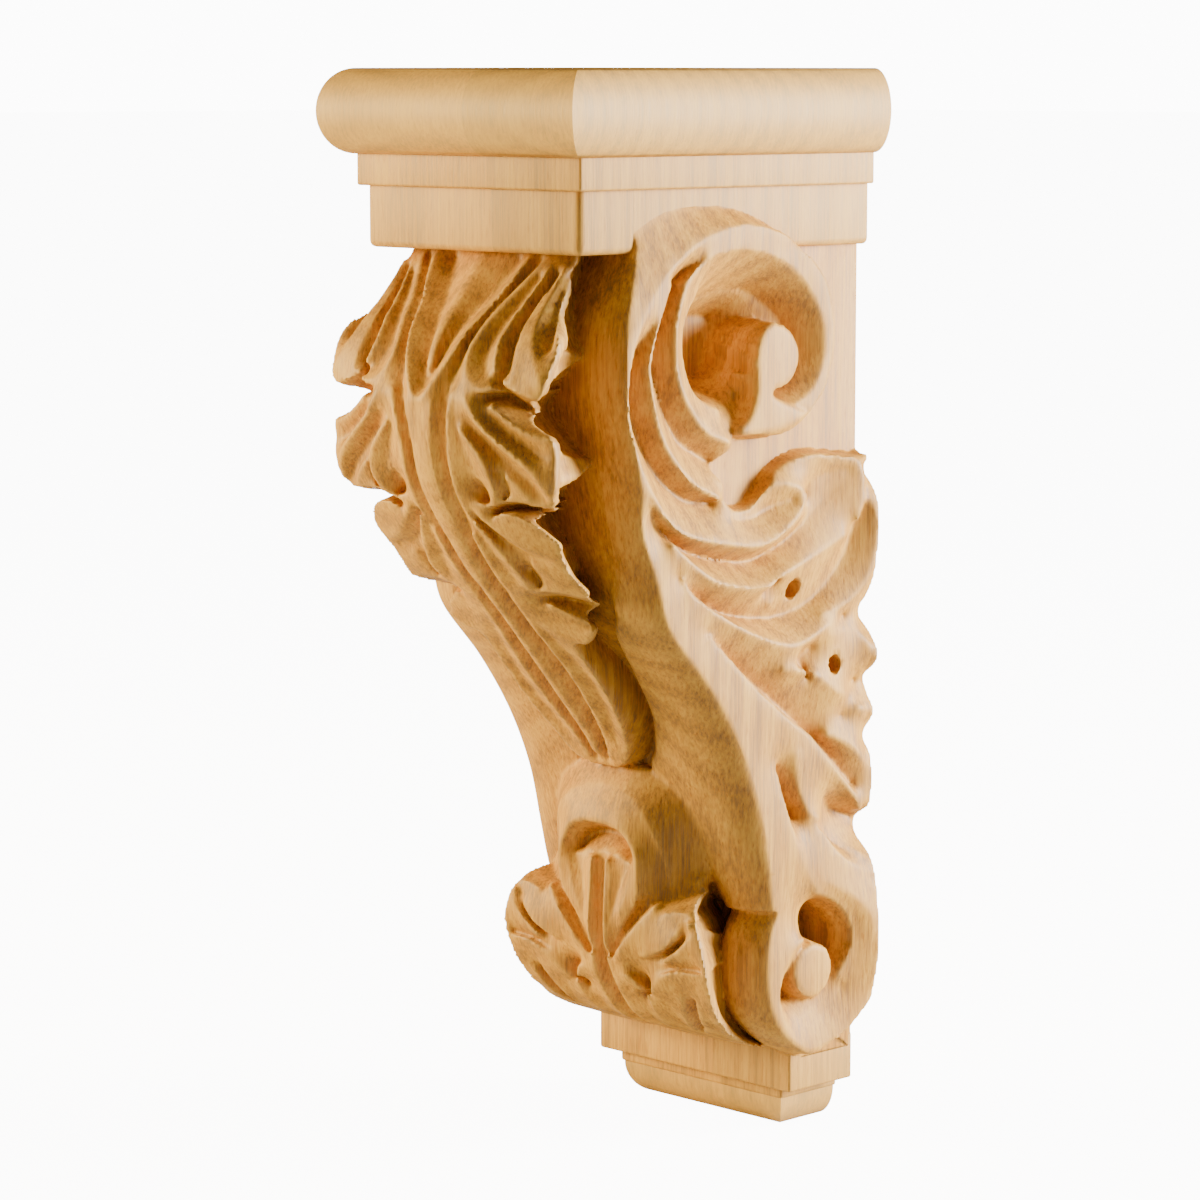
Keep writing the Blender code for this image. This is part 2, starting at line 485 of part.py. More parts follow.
def drawn_height(z):
    return FOOT_TOP * 1000 + (z - DRAWN_BOTTOM) * HEIGHT_SCALE


def drawn_outline(points, across):
    return [(a * across, drawn_height(b)) for a, b in points]


def drawn_profile(points, at):
    return DEPTH_SCALE * profile([(drawn_height(z), value) for z, value in points], at)


def side_heights(out, up, soft):
    """How far the side stands out from the middle plane, over distance from wall and height."""
    skin = stretched_skin(scaled(SIDE_STROKES.values(), DEPTH_SCALE, RELIEF_SCALE), out, up)
    for y, z, radius, floor_height in DRILLED.values():
        distance = np.hypot(out[:, None] - y * DEPTH_SCALE, up[None] - drawn_height(z))
        hole = np.clip((radius - distance) / soft + 0.5, 0, 1)
        skin = skin * (1 - hole) + floor_height * RELIEF_SCALE * hole
    drop, reach = BOSS_ROUNDING
    for outline, face in BOSSES.values():
        within = inside_by(drawn_outline(outline, DEPTH_SCALE), out, up)
        boss = np.clip(within / soft + 0.5, 0, 1)
        top = face - drop * (1 - np.clip(within / reach, 0, 1)) ** 2
        skin = skin * (1 - boss) + top * RELIEF_SCALE * boss
    plain = inside_by(drawn_outline(PLAIN_SIDE, DEPTH_SCALE), out, up)
    plain = np.maximum(plain, inside_by(drawn_outline(PLAIN_FOOT, DEPTH_SCALE), out, up))
    return BODY_HALF_WIDTH * 1000 + skin * np.clip(0.5 - plain / soft, 0, 1)


def scroll_front(side, up):
    """How far the scroll stands out from the wall, over the distance sideways and the height."""
    rim = (BODY_HALF_WIDTH + SIDE_RELIEF) * 1000
    corner_start = CORNER_START * BODY_HALF_WIDTH * 1000
    turn = np.clip((side - corner_start) / (rim - corner_start), 0, 1)[:, None]
    corner = drawn_profile(SCROLL_CORNER, up)[None]
    setback = corner * (1 - np.sqrt(1 - CORNER_FULLNESS * turn**2))
    front = drawn_profile(SCROLL_PROFILE, up)[None] - setback
    inner_edge = profile([(drawn_height(z), x * WIDTH_SCALE) for z, x in SCROLL_INNER_EDGE], up)
    flat = np.clip((side[:, None] - inner_edge[None]) / (SCROLL_INNER_ROUND * WIDTH_SCALE), 0, 1)
    return front - drawn_profile(SCROLL_SINK, up)[None] * (1 - np.sqrt(1 - (1 - flat) ** 2))


def leaf_front(strokes, heights, rounding, outline, side, up):
    """How far a leaf stands out from the wall, and how far each point lies inside its outline."""
    leaf = stretched_skin(scaled(strokes.values(), WIDTH_SCALE, DEPTH_SCALE), side, up)
    leaf = leaf + drawn_profile(heights, up)[None]
    leaf = leaf + DEPTH_SCALE * profile(rounding, side / WIDTH_SCALE)[:, None]
    return leaf, inside_by(drawn_outline(outline, WIDTH_SCALE), side, up)


def in_largest_shell(count, quads):
    """Whether each point is on the largest connected surface, which leaves out bubbles and crumbs."""
    edges = np.concatenate([quads[:, [0, 1]], quads[:, [1, 2]], quads[:, [2, 3]]]).astype(int)
    label = np.arange(count)
    settled = False
    while not settled:
        lowest = label[edges].min(axis=1)
        joined = label.copy()
        np.minimum.at(joined, label[edges[:, 0]], lowest)
        np.minimum.at(joined, label[edges[:, 1]], lowest)
        joined = joined[joined]
        settled = (joined == label).all()
        label = joined
    return label == np.bincount(label).argmax()


def carved_body(voxel):
    """The carved body: the wood that lies inside both the side drawing and the front drawing."""
    widest = (BODY_HALF_WIDTH + 2 * SIDE_RELIEF) * 1000
    side = np.arange(0.5, widest / voxel + MARGIN) * voxel
    out = np.arange(-DEPTH_SCALE * DRAWN_DEPTH, (MARGIN + 1) * voxel, voxel)
    low = (FOOT_TOP - JOINT_OVERLAP) * 1000
    high = (FRIEZE_BOTTOM + SCROLL_RISE) * 1000
    up = np.arange(low - MARGIN * voxel, high + MARGIN * voxel, voxel)
    soft = SOFT_EDGE * voxel
    front = scroll_front(side, up)[:, None] + out[None, :, None]
    leaves = (
        (LEAF_STROKES, LEAF_PROFILE, LEAF_ROUND, LEAF_OUTLINE, LEAF_UNDERCUT),
        (LOW_LEAF_STROKES, LOW_LEAF_PROFILE, LOW_LEAF_ROUND, LOW_LEAF_OUTLINE, LOW_LEAF_UNDERCUT),
    )
    for *drawing, undercut in leaves:
        leaf, inside = leaf_front(*drawing, side, up)
        below = leaf[:, None] + out[None, :, None]
        slope = profile([(drawn_height(z), share) for z, share in undercut], up)
        front = np.maximum(front, np.minimum(below, inside[:, None] - slope * below))
    half = np.minimum(front, side_heights(out, up, soft)[None] - side[:, None, None])
    half = np.minimum(half, MARGIN * voxel - out[None, :, None])
    half = np.minimum(half, np.minimum(up - low, high - up)[None, None])
    half = np.clip(half, -MARGIN * voxel, MARGIN * voxel)
    whole = np.concatenate([half[::-1], half])
    grid = openvdb.FloatGrid(-MARGIN * voxel)
    grid.copyFromArray(whole.astype(np.float32))
    points, _, quads = grid.convertToPolygons(isovalue=0.0, adaptivity=0.0)
    points = points.astype(float) * voxel
    points += (-side[-1], out[0], up[0])
    kept = in_largest_shell(len(points), quads)
    place = np.cumsum(kept) - 1
    corners = place[quads[kept[quads[:, 0]]]][:, ::-1]
    mesh = bpy.data.meshes.new("carved_body")
    mesh.from_pydata((points[kept] / 1000).tolist(), [], corners.tolist())
    mesh.validate()
    return mesh


def new_object(name, mesh, collection):
    made = bpy.data.objects.new(name, mesh)
    collection.objects.link(made)
    return made


def block(name, half_width, depth, bottom, top, edge, collection):
    """A straight block with softened edges, running back past the wall plane to be cut there."""
    mesh = bpy.data.meshes.new(name)
    shape = bmesh.new()
    bmesh.ops.create_cube(shape, size=1)
    behind = WALL_WASTE
    bmesh.ops.scale(shape, vec=(2 * half_width, depth + behind, top - bottom), verts=shape.verts)
    middle = ((behind - depth) / 2, (bottom + top) / 2)
    bmesh.ops.translate(shape, vec=(0, *middle), verts=shape.verts)
    shape.to_mesh(mesh)
    shape.free()
    made = new_object(name, mesh, collection)
    if edge:
        bevel = made.modifiers.new("softened edges", "BEVEL")
        bevel.width = edge
        bevel.segments = 2
    return made


def moulding(name, rings, collection):
    """A mitred moulding: each ring is (height, half width, depth from the wall)."""
    mesh = bpy.data.meshes.new(name)
    shape = bmesh.new()
    loops = []
    for height, half_width, depth in rings:
        corners = ((-half_width, WALL_WASTE), (half_width, WALL_WASTE))
        corners += ((half_width, -depth), (-half_width, -depth))
        loops.append([shape.verts.new((x, y, height)) for x, y in corners])
    for below, above in zip(loops, loops[1:]):
        for i in range(4):
            shape.faces.new((below[i], below[i - 3], above[i - 3], above[i]))
    shape.faces.new(loops[-1])
    shape.faces.new(loops[0])
    bmesh.ops.recalc_face_normals(shape, faces=shape.faces)
    shape.to_mesh(mesh)
    shape.free()
    return new_object(name, mesh, collection)


def quarter_steps(count, turns):
    """Angles from 0 to this many quarter turns, in even steps."""
    return np.linspace(0, turns * np.pi / 2, count + 1)


def cap(collection):
    """The bullnose, the fillet below it, and the frieze that the carving hangs from."""
    bottom = TOP - BULLNOSE_HEIGHT
    rings = []
    for angle in quarter_steps(BULLNOSE_STEPS, 2):
        height = bottom + BULLNOSE_HEIGHT * (1 - np.cos(angle)) / 2
        bulge = np.sin(angle)
        half_width = FILLET_HALF_WIDTH + BULLNOSE_SIDE_BULGE * bulge
        rings.append((height, half_width, FILLET_DEPTH + BULLNOSE_FRONT_BULGE * bulge))
    fillet_bottom = bottom - FILLET_HEIGHT
    into = JOINT_OVERLAP
    return [
        moulding("bullnose", rings, collection),
        block("fillet", FILLET_HALF_WIDTH, FILLET_DEPTH, fillet_bottom, bottom + into,
              FILLET_EDGE, collection),
        block("frieze", FRIEZE_HALF_WIDTH, FRIEZE_DEPTH, FRIEZE_BOTTOM, fillet_bottom + into,
              FRIEZE_EDGE, collection),
    ]


def foot(collection):
    """The foot block, a narrow step, and the hollow moulding under it."""
    block_bottom = BOTTOM + FOOT_HOLLOW_HEIGHT + FOOT_STEP_HEIGHT
    step_half_width = FOOT_HALF_WIDTH - FOOT_STEP_INSET
    step_depth = FOOT_DEPTH - FOOT_STEP_INSET / 2
    rings = []
    for angle in quarter_steps(FOOT_HOLLOW_STEPS, 1):
        inset = FOOT_EDGE + FOOT_HOLLOW_INSET * (1 - np.sin(angle))
        height = BOTTOM + FOOT_HOLLOW_HEIGHT * (1 - np.cos(angle))
        rings.append((height, step_half_width - inset, step_depth - inset))
    top_ring = (block_bottom + FOOT_EDGE, step_half_width - FOOT_EDGE, step_depth - FOOT_EDGE)
    rings.append(top_ring)
    return [
        moulding("hollow moulding", rings, collection),
        block("step", step_half_width, step_depth, BOTTOM + FOOT_HOLLOW_HEIGHT,
              block_bottom + JOINT_OVERLAP, FOOT_EDGE, collection),
        block("foot block", FOOT_HALF_WIDTH, FOOT_DEPTH, block_bottom, FOOT_TOP,
              FOOT_EDGE, collection),
    ]


def wood():
    """Pale, lightly sanded hardwood."""
    material = bpy.data.materials.new("pale hardwood")
    material.use_nodes = True
    shader = material.node_tree.nodes["Principled BSDF"]
    shader.inputs["Base Color"].default_value = (0.62, 0.42, 0.23, 1)
    shader.inputs["Roughness"].default_value = 0.55
    shader.inputs["Metallic"].default_value = 0
    return material


def main():
    for old in list(bpy.data.objects):
        bpy.data.objects.remove(old, do_unlink=True)
    parts = bpy.data.collections.new(COLLECTION_NAME)
    helpers = bpy.data.collections.new("helpers")
    for collection in (parts, helpers):
        bpy.context.scene.collection.children.link(collection)

    corbel = new_object("corbel", carved_body(VOXEL * 1000), parts)
    corbel.data.materials.append(wood())
    thinned = corbel.modifiers.new("thinned", "DECIMATE")
    thinned.ratio = CARVING_FACES / sum(len(face.vertices) - 2 for face in corbel.data.polygons)

    for helper in cap(helpers) + foot(helpers):
        union = corbel.modifiers.new(helper.name, "BOOLEAN")
        union.operation = "UNION"
        union.object = helper
    kept = block("kept space", 1, 1, BOTTOM, TOP, 0, helpers)
    kept.location.y = -WALL_WASTE
    cut = corbel.modifiers.new("cut flat at the wall", "BOOLEAN")
    cut.operation = "INTERSECT"
    cut.object = kept
    for helper in helpers.objects:
        helper.hide_render = True
        helper.display_type = "WIRE"


main()
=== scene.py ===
"""The looks of a carved wooden corbel bracket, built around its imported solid.

The carving is drawn as on the bench, from the side and from the front, in millimetres. The body is
the wood that lies inside both drawings, and the moulded cap and the stepped foot are swept.
"""

import math

import bmesh
import bpy
import numpy as np
import openvdb
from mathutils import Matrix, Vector


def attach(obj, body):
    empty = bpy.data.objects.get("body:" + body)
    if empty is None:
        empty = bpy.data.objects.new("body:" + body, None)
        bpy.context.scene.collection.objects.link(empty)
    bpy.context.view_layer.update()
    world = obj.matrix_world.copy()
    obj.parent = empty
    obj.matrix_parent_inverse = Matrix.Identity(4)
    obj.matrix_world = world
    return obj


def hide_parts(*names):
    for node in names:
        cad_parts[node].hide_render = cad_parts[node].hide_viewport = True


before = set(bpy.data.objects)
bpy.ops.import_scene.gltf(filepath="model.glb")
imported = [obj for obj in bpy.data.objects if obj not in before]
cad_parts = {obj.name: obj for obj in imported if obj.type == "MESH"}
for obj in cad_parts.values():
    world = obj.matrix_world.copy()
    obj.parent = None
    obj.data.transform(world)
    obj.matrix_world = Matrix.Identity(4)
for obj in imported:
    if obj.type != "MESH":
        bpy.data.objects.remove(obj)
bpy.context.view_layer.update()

# Driving sizes, in metres. The back lies in the plane Y = 0 and the front faces -Y.
TOTAL_HEIGHT = 0.356
BODY_HALF_WIDTH = 0.0453
SIDE_RELIEF = 0.0095
BODY_PROJECTION = 0.1210

BULLNOSE_HEIGHT = 0.0276
BULLNOSE_SIDE_BULGE = 0.0075
BULLNOSE_FRONT_BULGE = 0.0107
BULLNOSE_STEPS = 40
FILLET_HEIGHT = 0.01015
FILLET_HALF_WIDTH = 0.0520
FILLET_DEPTH = 0.1353
FILLET_EDGE = 0.0008
FRIEZE_HEIGHT = 0.01995
FRIEZE_HALF_WIDTH = 0.0494
FRIEZE_DEPTH = 0.1331
FRIEZE_EDGE = 0.0022

FOOT_HEIGHT = 0.0280
FOOT_HALF_WIDTH = 0.0453
FOOT_DEPTH = 0.0310
FOOT_STEP_HEIGHT = 0.0040
FOOT_STEP_INSET = 0.0070
FOOT_HOLLOW_HEIGHT = 0.0110
FOOT_HOLLOW_INSET = 0.0080
FOOT_HOLLOW_STEPS = 16
FOOT_EDGE = 0.0010

VOXEL = 0.0009
CARVING_FACES = 190000
JOINT_OVERLAP = 0.0030
BACK_STEP = 0.00005
SCROLL_RISE = 0.0150
EDGE_STEPS = 4
SHARP_ANGLE = 35

# The carving is worked out in millimetres: how many there are in a metre.
MM = 1000

# The size at which the carving is drawn, in millimetres.
DRAWN_HALF_WIDTH = 45.3
DRAWN_RELIEF = 9.5
DRAWN_PROJECTION = 121.0
DRAWN_DEPTH = 165.0
CORNER_START = 0.72
CORNER_FULLNESS = 0.98
# Both in voxels: how soft a cut edge is, and how far the grid runs on round the wood.
SOFT_EDGE = 1.5
MARGIN = 3

TOP = TOTAL_HEIGHT / 2
BOTTOM = -TOTAL_HEIGHT / 2
FRIEZE_BOTTOM = TOP - BULLNOSE_HEIGHT - FILLET_HEIGHT - FRIEZE_HEIGHT
FOOT_TOP = BOTTOM + FOOT_HEIGHT

# Where the drawn body starts and ends, measured from the middle of the whole height.
DRAWN_TOP = 120.3
DRAWN_BOTTOM = -150.0

HEIGHT_SCALE = (FRIEZE_BOTTOM - FOOT_TOP) / (DRAWN_TOP - DRAWN_BOTTOM) * MM
WIDTH_SCALE = BODY_HALF_WIDTH / DRAWN_HALF_WIDTH * MM
RELIEF_SCALE = SIDE_RELIEF / DRAWN_RELIEF * MM
DEPTH_SCALE = BODY_PROJECTION / DRAWN_PROJECTION * MM

# Camera and lights, in the same frame. A light is (name, place, size, power, colour).
CAMERA_PLACE = (0.9319, -0.9958, 0.1758)
CAMERA_TURN = (82.517, 0, 45.36)
CAMERA_LENS = 120
CAMERA_SENSOR = 36
CAMERA_REACH = 50
LIGHT_TARGET = (0, -0.06, 0)
LIGHTS = (
    ("right", (1.10, 1.20, 0.26), (0.6, 0.7), 106, (1.0, 0.94, 0.83)),
    ("left", (-1.35, -1.1, 0.30), (0.6, 0.6), 64, (1.0, 0.80, 0.38)),
    ("top", (0.3, -0.9, 1.5), (1.0, 1.0), 0.6, (1.0, 0.9, 0.7)),
)
FILL_LIGHT = 0.15
FILL_COLOUR = (1.0, 0.90, 0.64)

# The floor and what lies behind it look white to the camera and light nothing.
FLOOR_GAP = 0.0005
FLOOR_HALF = 30
FLOOR_COLOUR = (0.60, 0.60, 0.60)
FLOOR_ROUGHNESS = 0.9
FLOOR_GLOW = 11.0
SEEN_BACKGROUND = 12.0

# The sockets of a Mix node that mixes colours.
MIX_FACTOR, MIX_FIRST, MIX_SECOND = 0, 6, 7
MIX_RESULT = 2

# Wood: the staves it is glued from, and its colours.
BOARD_WIDTH = 0.031
BOARD_START = 0.3
BOARD_DARKEST = 0.78
BOARD_SPREAD = 0.40
DARK_WOOD = (0.40, 0.195, 0.048)
MIDDLE_WOOD = (0.65, 0.315, 0.048)
LIGHT_WOOD = (0.82, 0.450, 0.075)
# A paler colour for sharp edges, partly wear and partly a painted highlight.
EDGE_WEAR_AND_HIGHLIGHT = (0.90, 0.60, 0.20)
# The tint of the painted shade laid into hollows and creases.
PAINTED_SHADE_TINT = (0.52, 0.35, 0.20)
FLECK_TINT = (0.80, 0.68, 0.52)
# Where the three woods lie in the tone, and each pattern's share of it. The shares add up to 1.
TONE_STOPS = (0.37, 0.49, 0.62)
RINGS_SHARE = 0.10
STREAKS_SHARE = 0.54
BLOTCHES_SHARE = 0.18
FIBRES_SHARE = 0.18
# Each pattern is (how far it is drawn out along the grain, scale, detail, roughness).
DRIFT = (0.35, 9.0, 2.0, 0.5)
STREAKS = (0.025, 900.0, 3.0, 0.6)
FIBRES = (0.06, 2600.0, 2.0, 0.6)
BLOTCHES = (0.5, 22.0, 3.0, 0.55)
FLECKS = (0.10, 1500.0, 1.0, 0.5)
RINGS_DRAWN_OUT = 0.12
RINGS_SCALE = 44.0
RINGS_DRIFT = 0.02
RINGS_WAVER = {"Distortion": 1.6, "Detail": 2.0, "Detail_Scale": 1.5}
FLECK_STRENGTH = 0.8
FLECK_STOPS = (0.60, 0.70)
# Painted shade and pale edges: how far a hollow is felt for the painted shade, how strong its tint is,
# and how pale an edge is painted, partly as wear and partly as a painted highlight.
PAINTED_SHADE_REACH = 0.012
PAINTED_SHADE_SAMPLES = 8
PAINTED_SHADE_STOPS = (0.30, 0.92)
PAINTED_SHADE_STRENGTH = 0.60
EDGE_WEAR_AND_HIGHLIGHT_STOPS = (0.50, 0.60)
EDGE_WEAR_AND_HIGHLIGHT_STRENGTH = 0.45
SMOOTHEST = 0.42
ROUGHNESS_SPREAD = 0.18
BUMP_STREAKS = 0.6
BUMP_FIBRES = 0.4
BUMP_STRENGTH = 0.40
BUMP_HEIGHT = 0.00025
SHINE = 0.35


def smooth_curve(points, per_span=14):
    """A smooth curve through a few control points."""
    points = np.asarray(points, float)
    before = 2 * points[:1] - points[1:2]
    after = 2 * points[-1:] - points[-2:-1]
    padded = np.concatenate([before, points, after])
    t = np.linspace(0, 1, per_span, endpoint=False)[:, None]
    spans = []
    for a, b, c, d in zip(padded, padded[1:], padded[2:], padded[3:]):
        bend = (2 * a - 5 * b + 4 * c - d) * t**2 + (3 * b - a - 3 * c + d) * t**3
        spans.append(b + 0.5 * ((c - a) * t + bend))
    return np.concatenate(spans + [points[-1:]])


def profile(points, at):
    """The value of a drawn profile, given as (height, value) pairs, at each height."""
    curve = smooth_curve(points)
    order = np.argsort(curve[:, 0], kind="stable")
    return np.interp(at, curve[order, 0], curve[order, 1])


def laid_on_grid(curves, across, up, stiffness):
    """How hard, and to what height, the strokes pull each grid point."""
    pull = np.zeros((len(across), len(up)))
    total = np.zeros_like(pull)
    for curve in curves:
        i = (curve[:, 0] - across[0]) / (across[1] - across[0])
        j = (curve[:, 1] - up[0]) / (up[1] - up[0])
        inside = (i >= 0) & (i < len(across) - 1) & (j >= 0) & (j < len(up) - 1)
        i, j, height = i[inside], j[inside], curve[inside, 2]
        low_i, low_j = i.astype(int), j.astype(int)
        for step_i in (0, 1):
            for step_j in (0, 1):
                share = (1 - np.abs(i - low_i - step_i)) * (1 - np.abs(j - low_j - step_j))
                np.add.at(pull, (low_i + step_i, low_j + step_j), share * stiffness)
                np.add.at(total, (low_i + step_i, low_j + step_j), share * stiffness * height)
    return pull, total


def stretched_skin(strokes, across, up, stiffness=6.0, sweeps=140):
    """Heights over a grid, like a skin stretched over the strokes, which stay as creases."""
    curves = [smooth_curve(stroke) for stroke in strokes]
    skin = None
    for coarse in (16, 8, 4, 2, 1):
        wide = np.linspace(across[0], across[-1], max(4, len(across) // coarse))
        high = np.linspace(up[0], up[-1], max(4, len(up) // coarse))
        pull, total = laid_on_grid(curves, wide, high, stiffness)
        if skin is None:
            skin = np.full(pull.shape, total.sum() / pull.sum())
        else:
            rows = [np.interp(high, last_high, row) for row in skin]
            columns = [np.interp(wide, last_wide, column) for column in np.array(rows).T]
            skin = np.array(columns).T
        for _ in range(sweeps):
            edged = np.pad(skin, 1, mode="edge")
            near = edged[:-2, 1:-1] + edged[2:, 1:-1] + edged[1:-1, :-2] + edged[1:-1, 2:]
            skin = (near / 4 + total) / (1 + pull)
        last_wide, last_high = wide, high
    return skin


def inside_by(outline, across, up):
    """How far each grid point lies inside a closed outline; outside is negative."""
    closed = smooth_curve(list(outline) + [outline[0]], 8)
    x, y = np.meshgrid(across, up, indexing="ij")
    nearest = np.full(x.shape, np.inf)
    within = np.zeros(x.shape, bool)
    for (ax, ay), (bx, by) in zip(closed, closed[1:]):
        dx, dy = bx - ax, by - ay
        length = max(dx * dx + dy * dy, 1e-12)
        t = np.clip(((x - ax) * dx + (y - ay) * dy) / length, 0, 1)
        nearest = np.minimum(nearest, (x - ax - t * dx) ** 2 + (y - ay - t * dy) ** 2)
        if ay != by:
            within ^= ((ay > y) != (by > y)) & (x < (y - ay) / dy * dx + ax)
    return np.where(within, 1, -1) * np.sqrt(nearest)


# The side drawing: (distance from the wall, height, how far it stands out from the plain side).
VOLUTE_RIM = [
    (-102, 39, 9.5), (-110, 51, 9.5), (-116, 66, 9.5), (-117, 80, 9.5), (-113, 95, 9.5),
    (-105, 108, 9.5), (-92, 119, 9.5), (-80, 125, 9.5), (-62, 128, 9.5), (-40, 123, 9.5),
    (-28, 114, 9), (-21, 100, 9), (-20.5, 86, 9), (-25, 73, 9), (-35, 63.5, 9), (-47, 60, 8),
]
VOLUTE_RIM_INSIDE = [
    (-92, 110, 9), (-78, 119.5, 9.3), (-55, 119.5, 9.3), (-35, 109, 9), (-25, 92, 8.8),
    (-30, 75, 8.8), (-44, 68.5, 8.5), (-55, 73, 8), (-60, 80, 6),
]
VOLUTE_WALL_FOOT = [
    (-118, 121, 4), (-107, 129, 4), (-92, 134, 4), (-66, 133.5, 4), (-47, 127, 4), (-38, 122.5, 3),
]
COVE_FOOT = [
    (-62, 74, 2), (-50, 73, 1), (-41, 78, 0), (-36, 87, 0), (-38, 96, -1), (-46, 103, -3),
    (-56, 107, -4), (-70, 105, -6), (-80, 100, -6), (-86, 90, -5), (-84, 80, -5), (-74, 73, -3),
]
HOLLOW_FLOOR = [
    (-58, 98, -14), (-70, 98, -14), (-78, 90, -14), (-74, 80, -14), (-64, 80, -14), (-58, 90, -14),
]
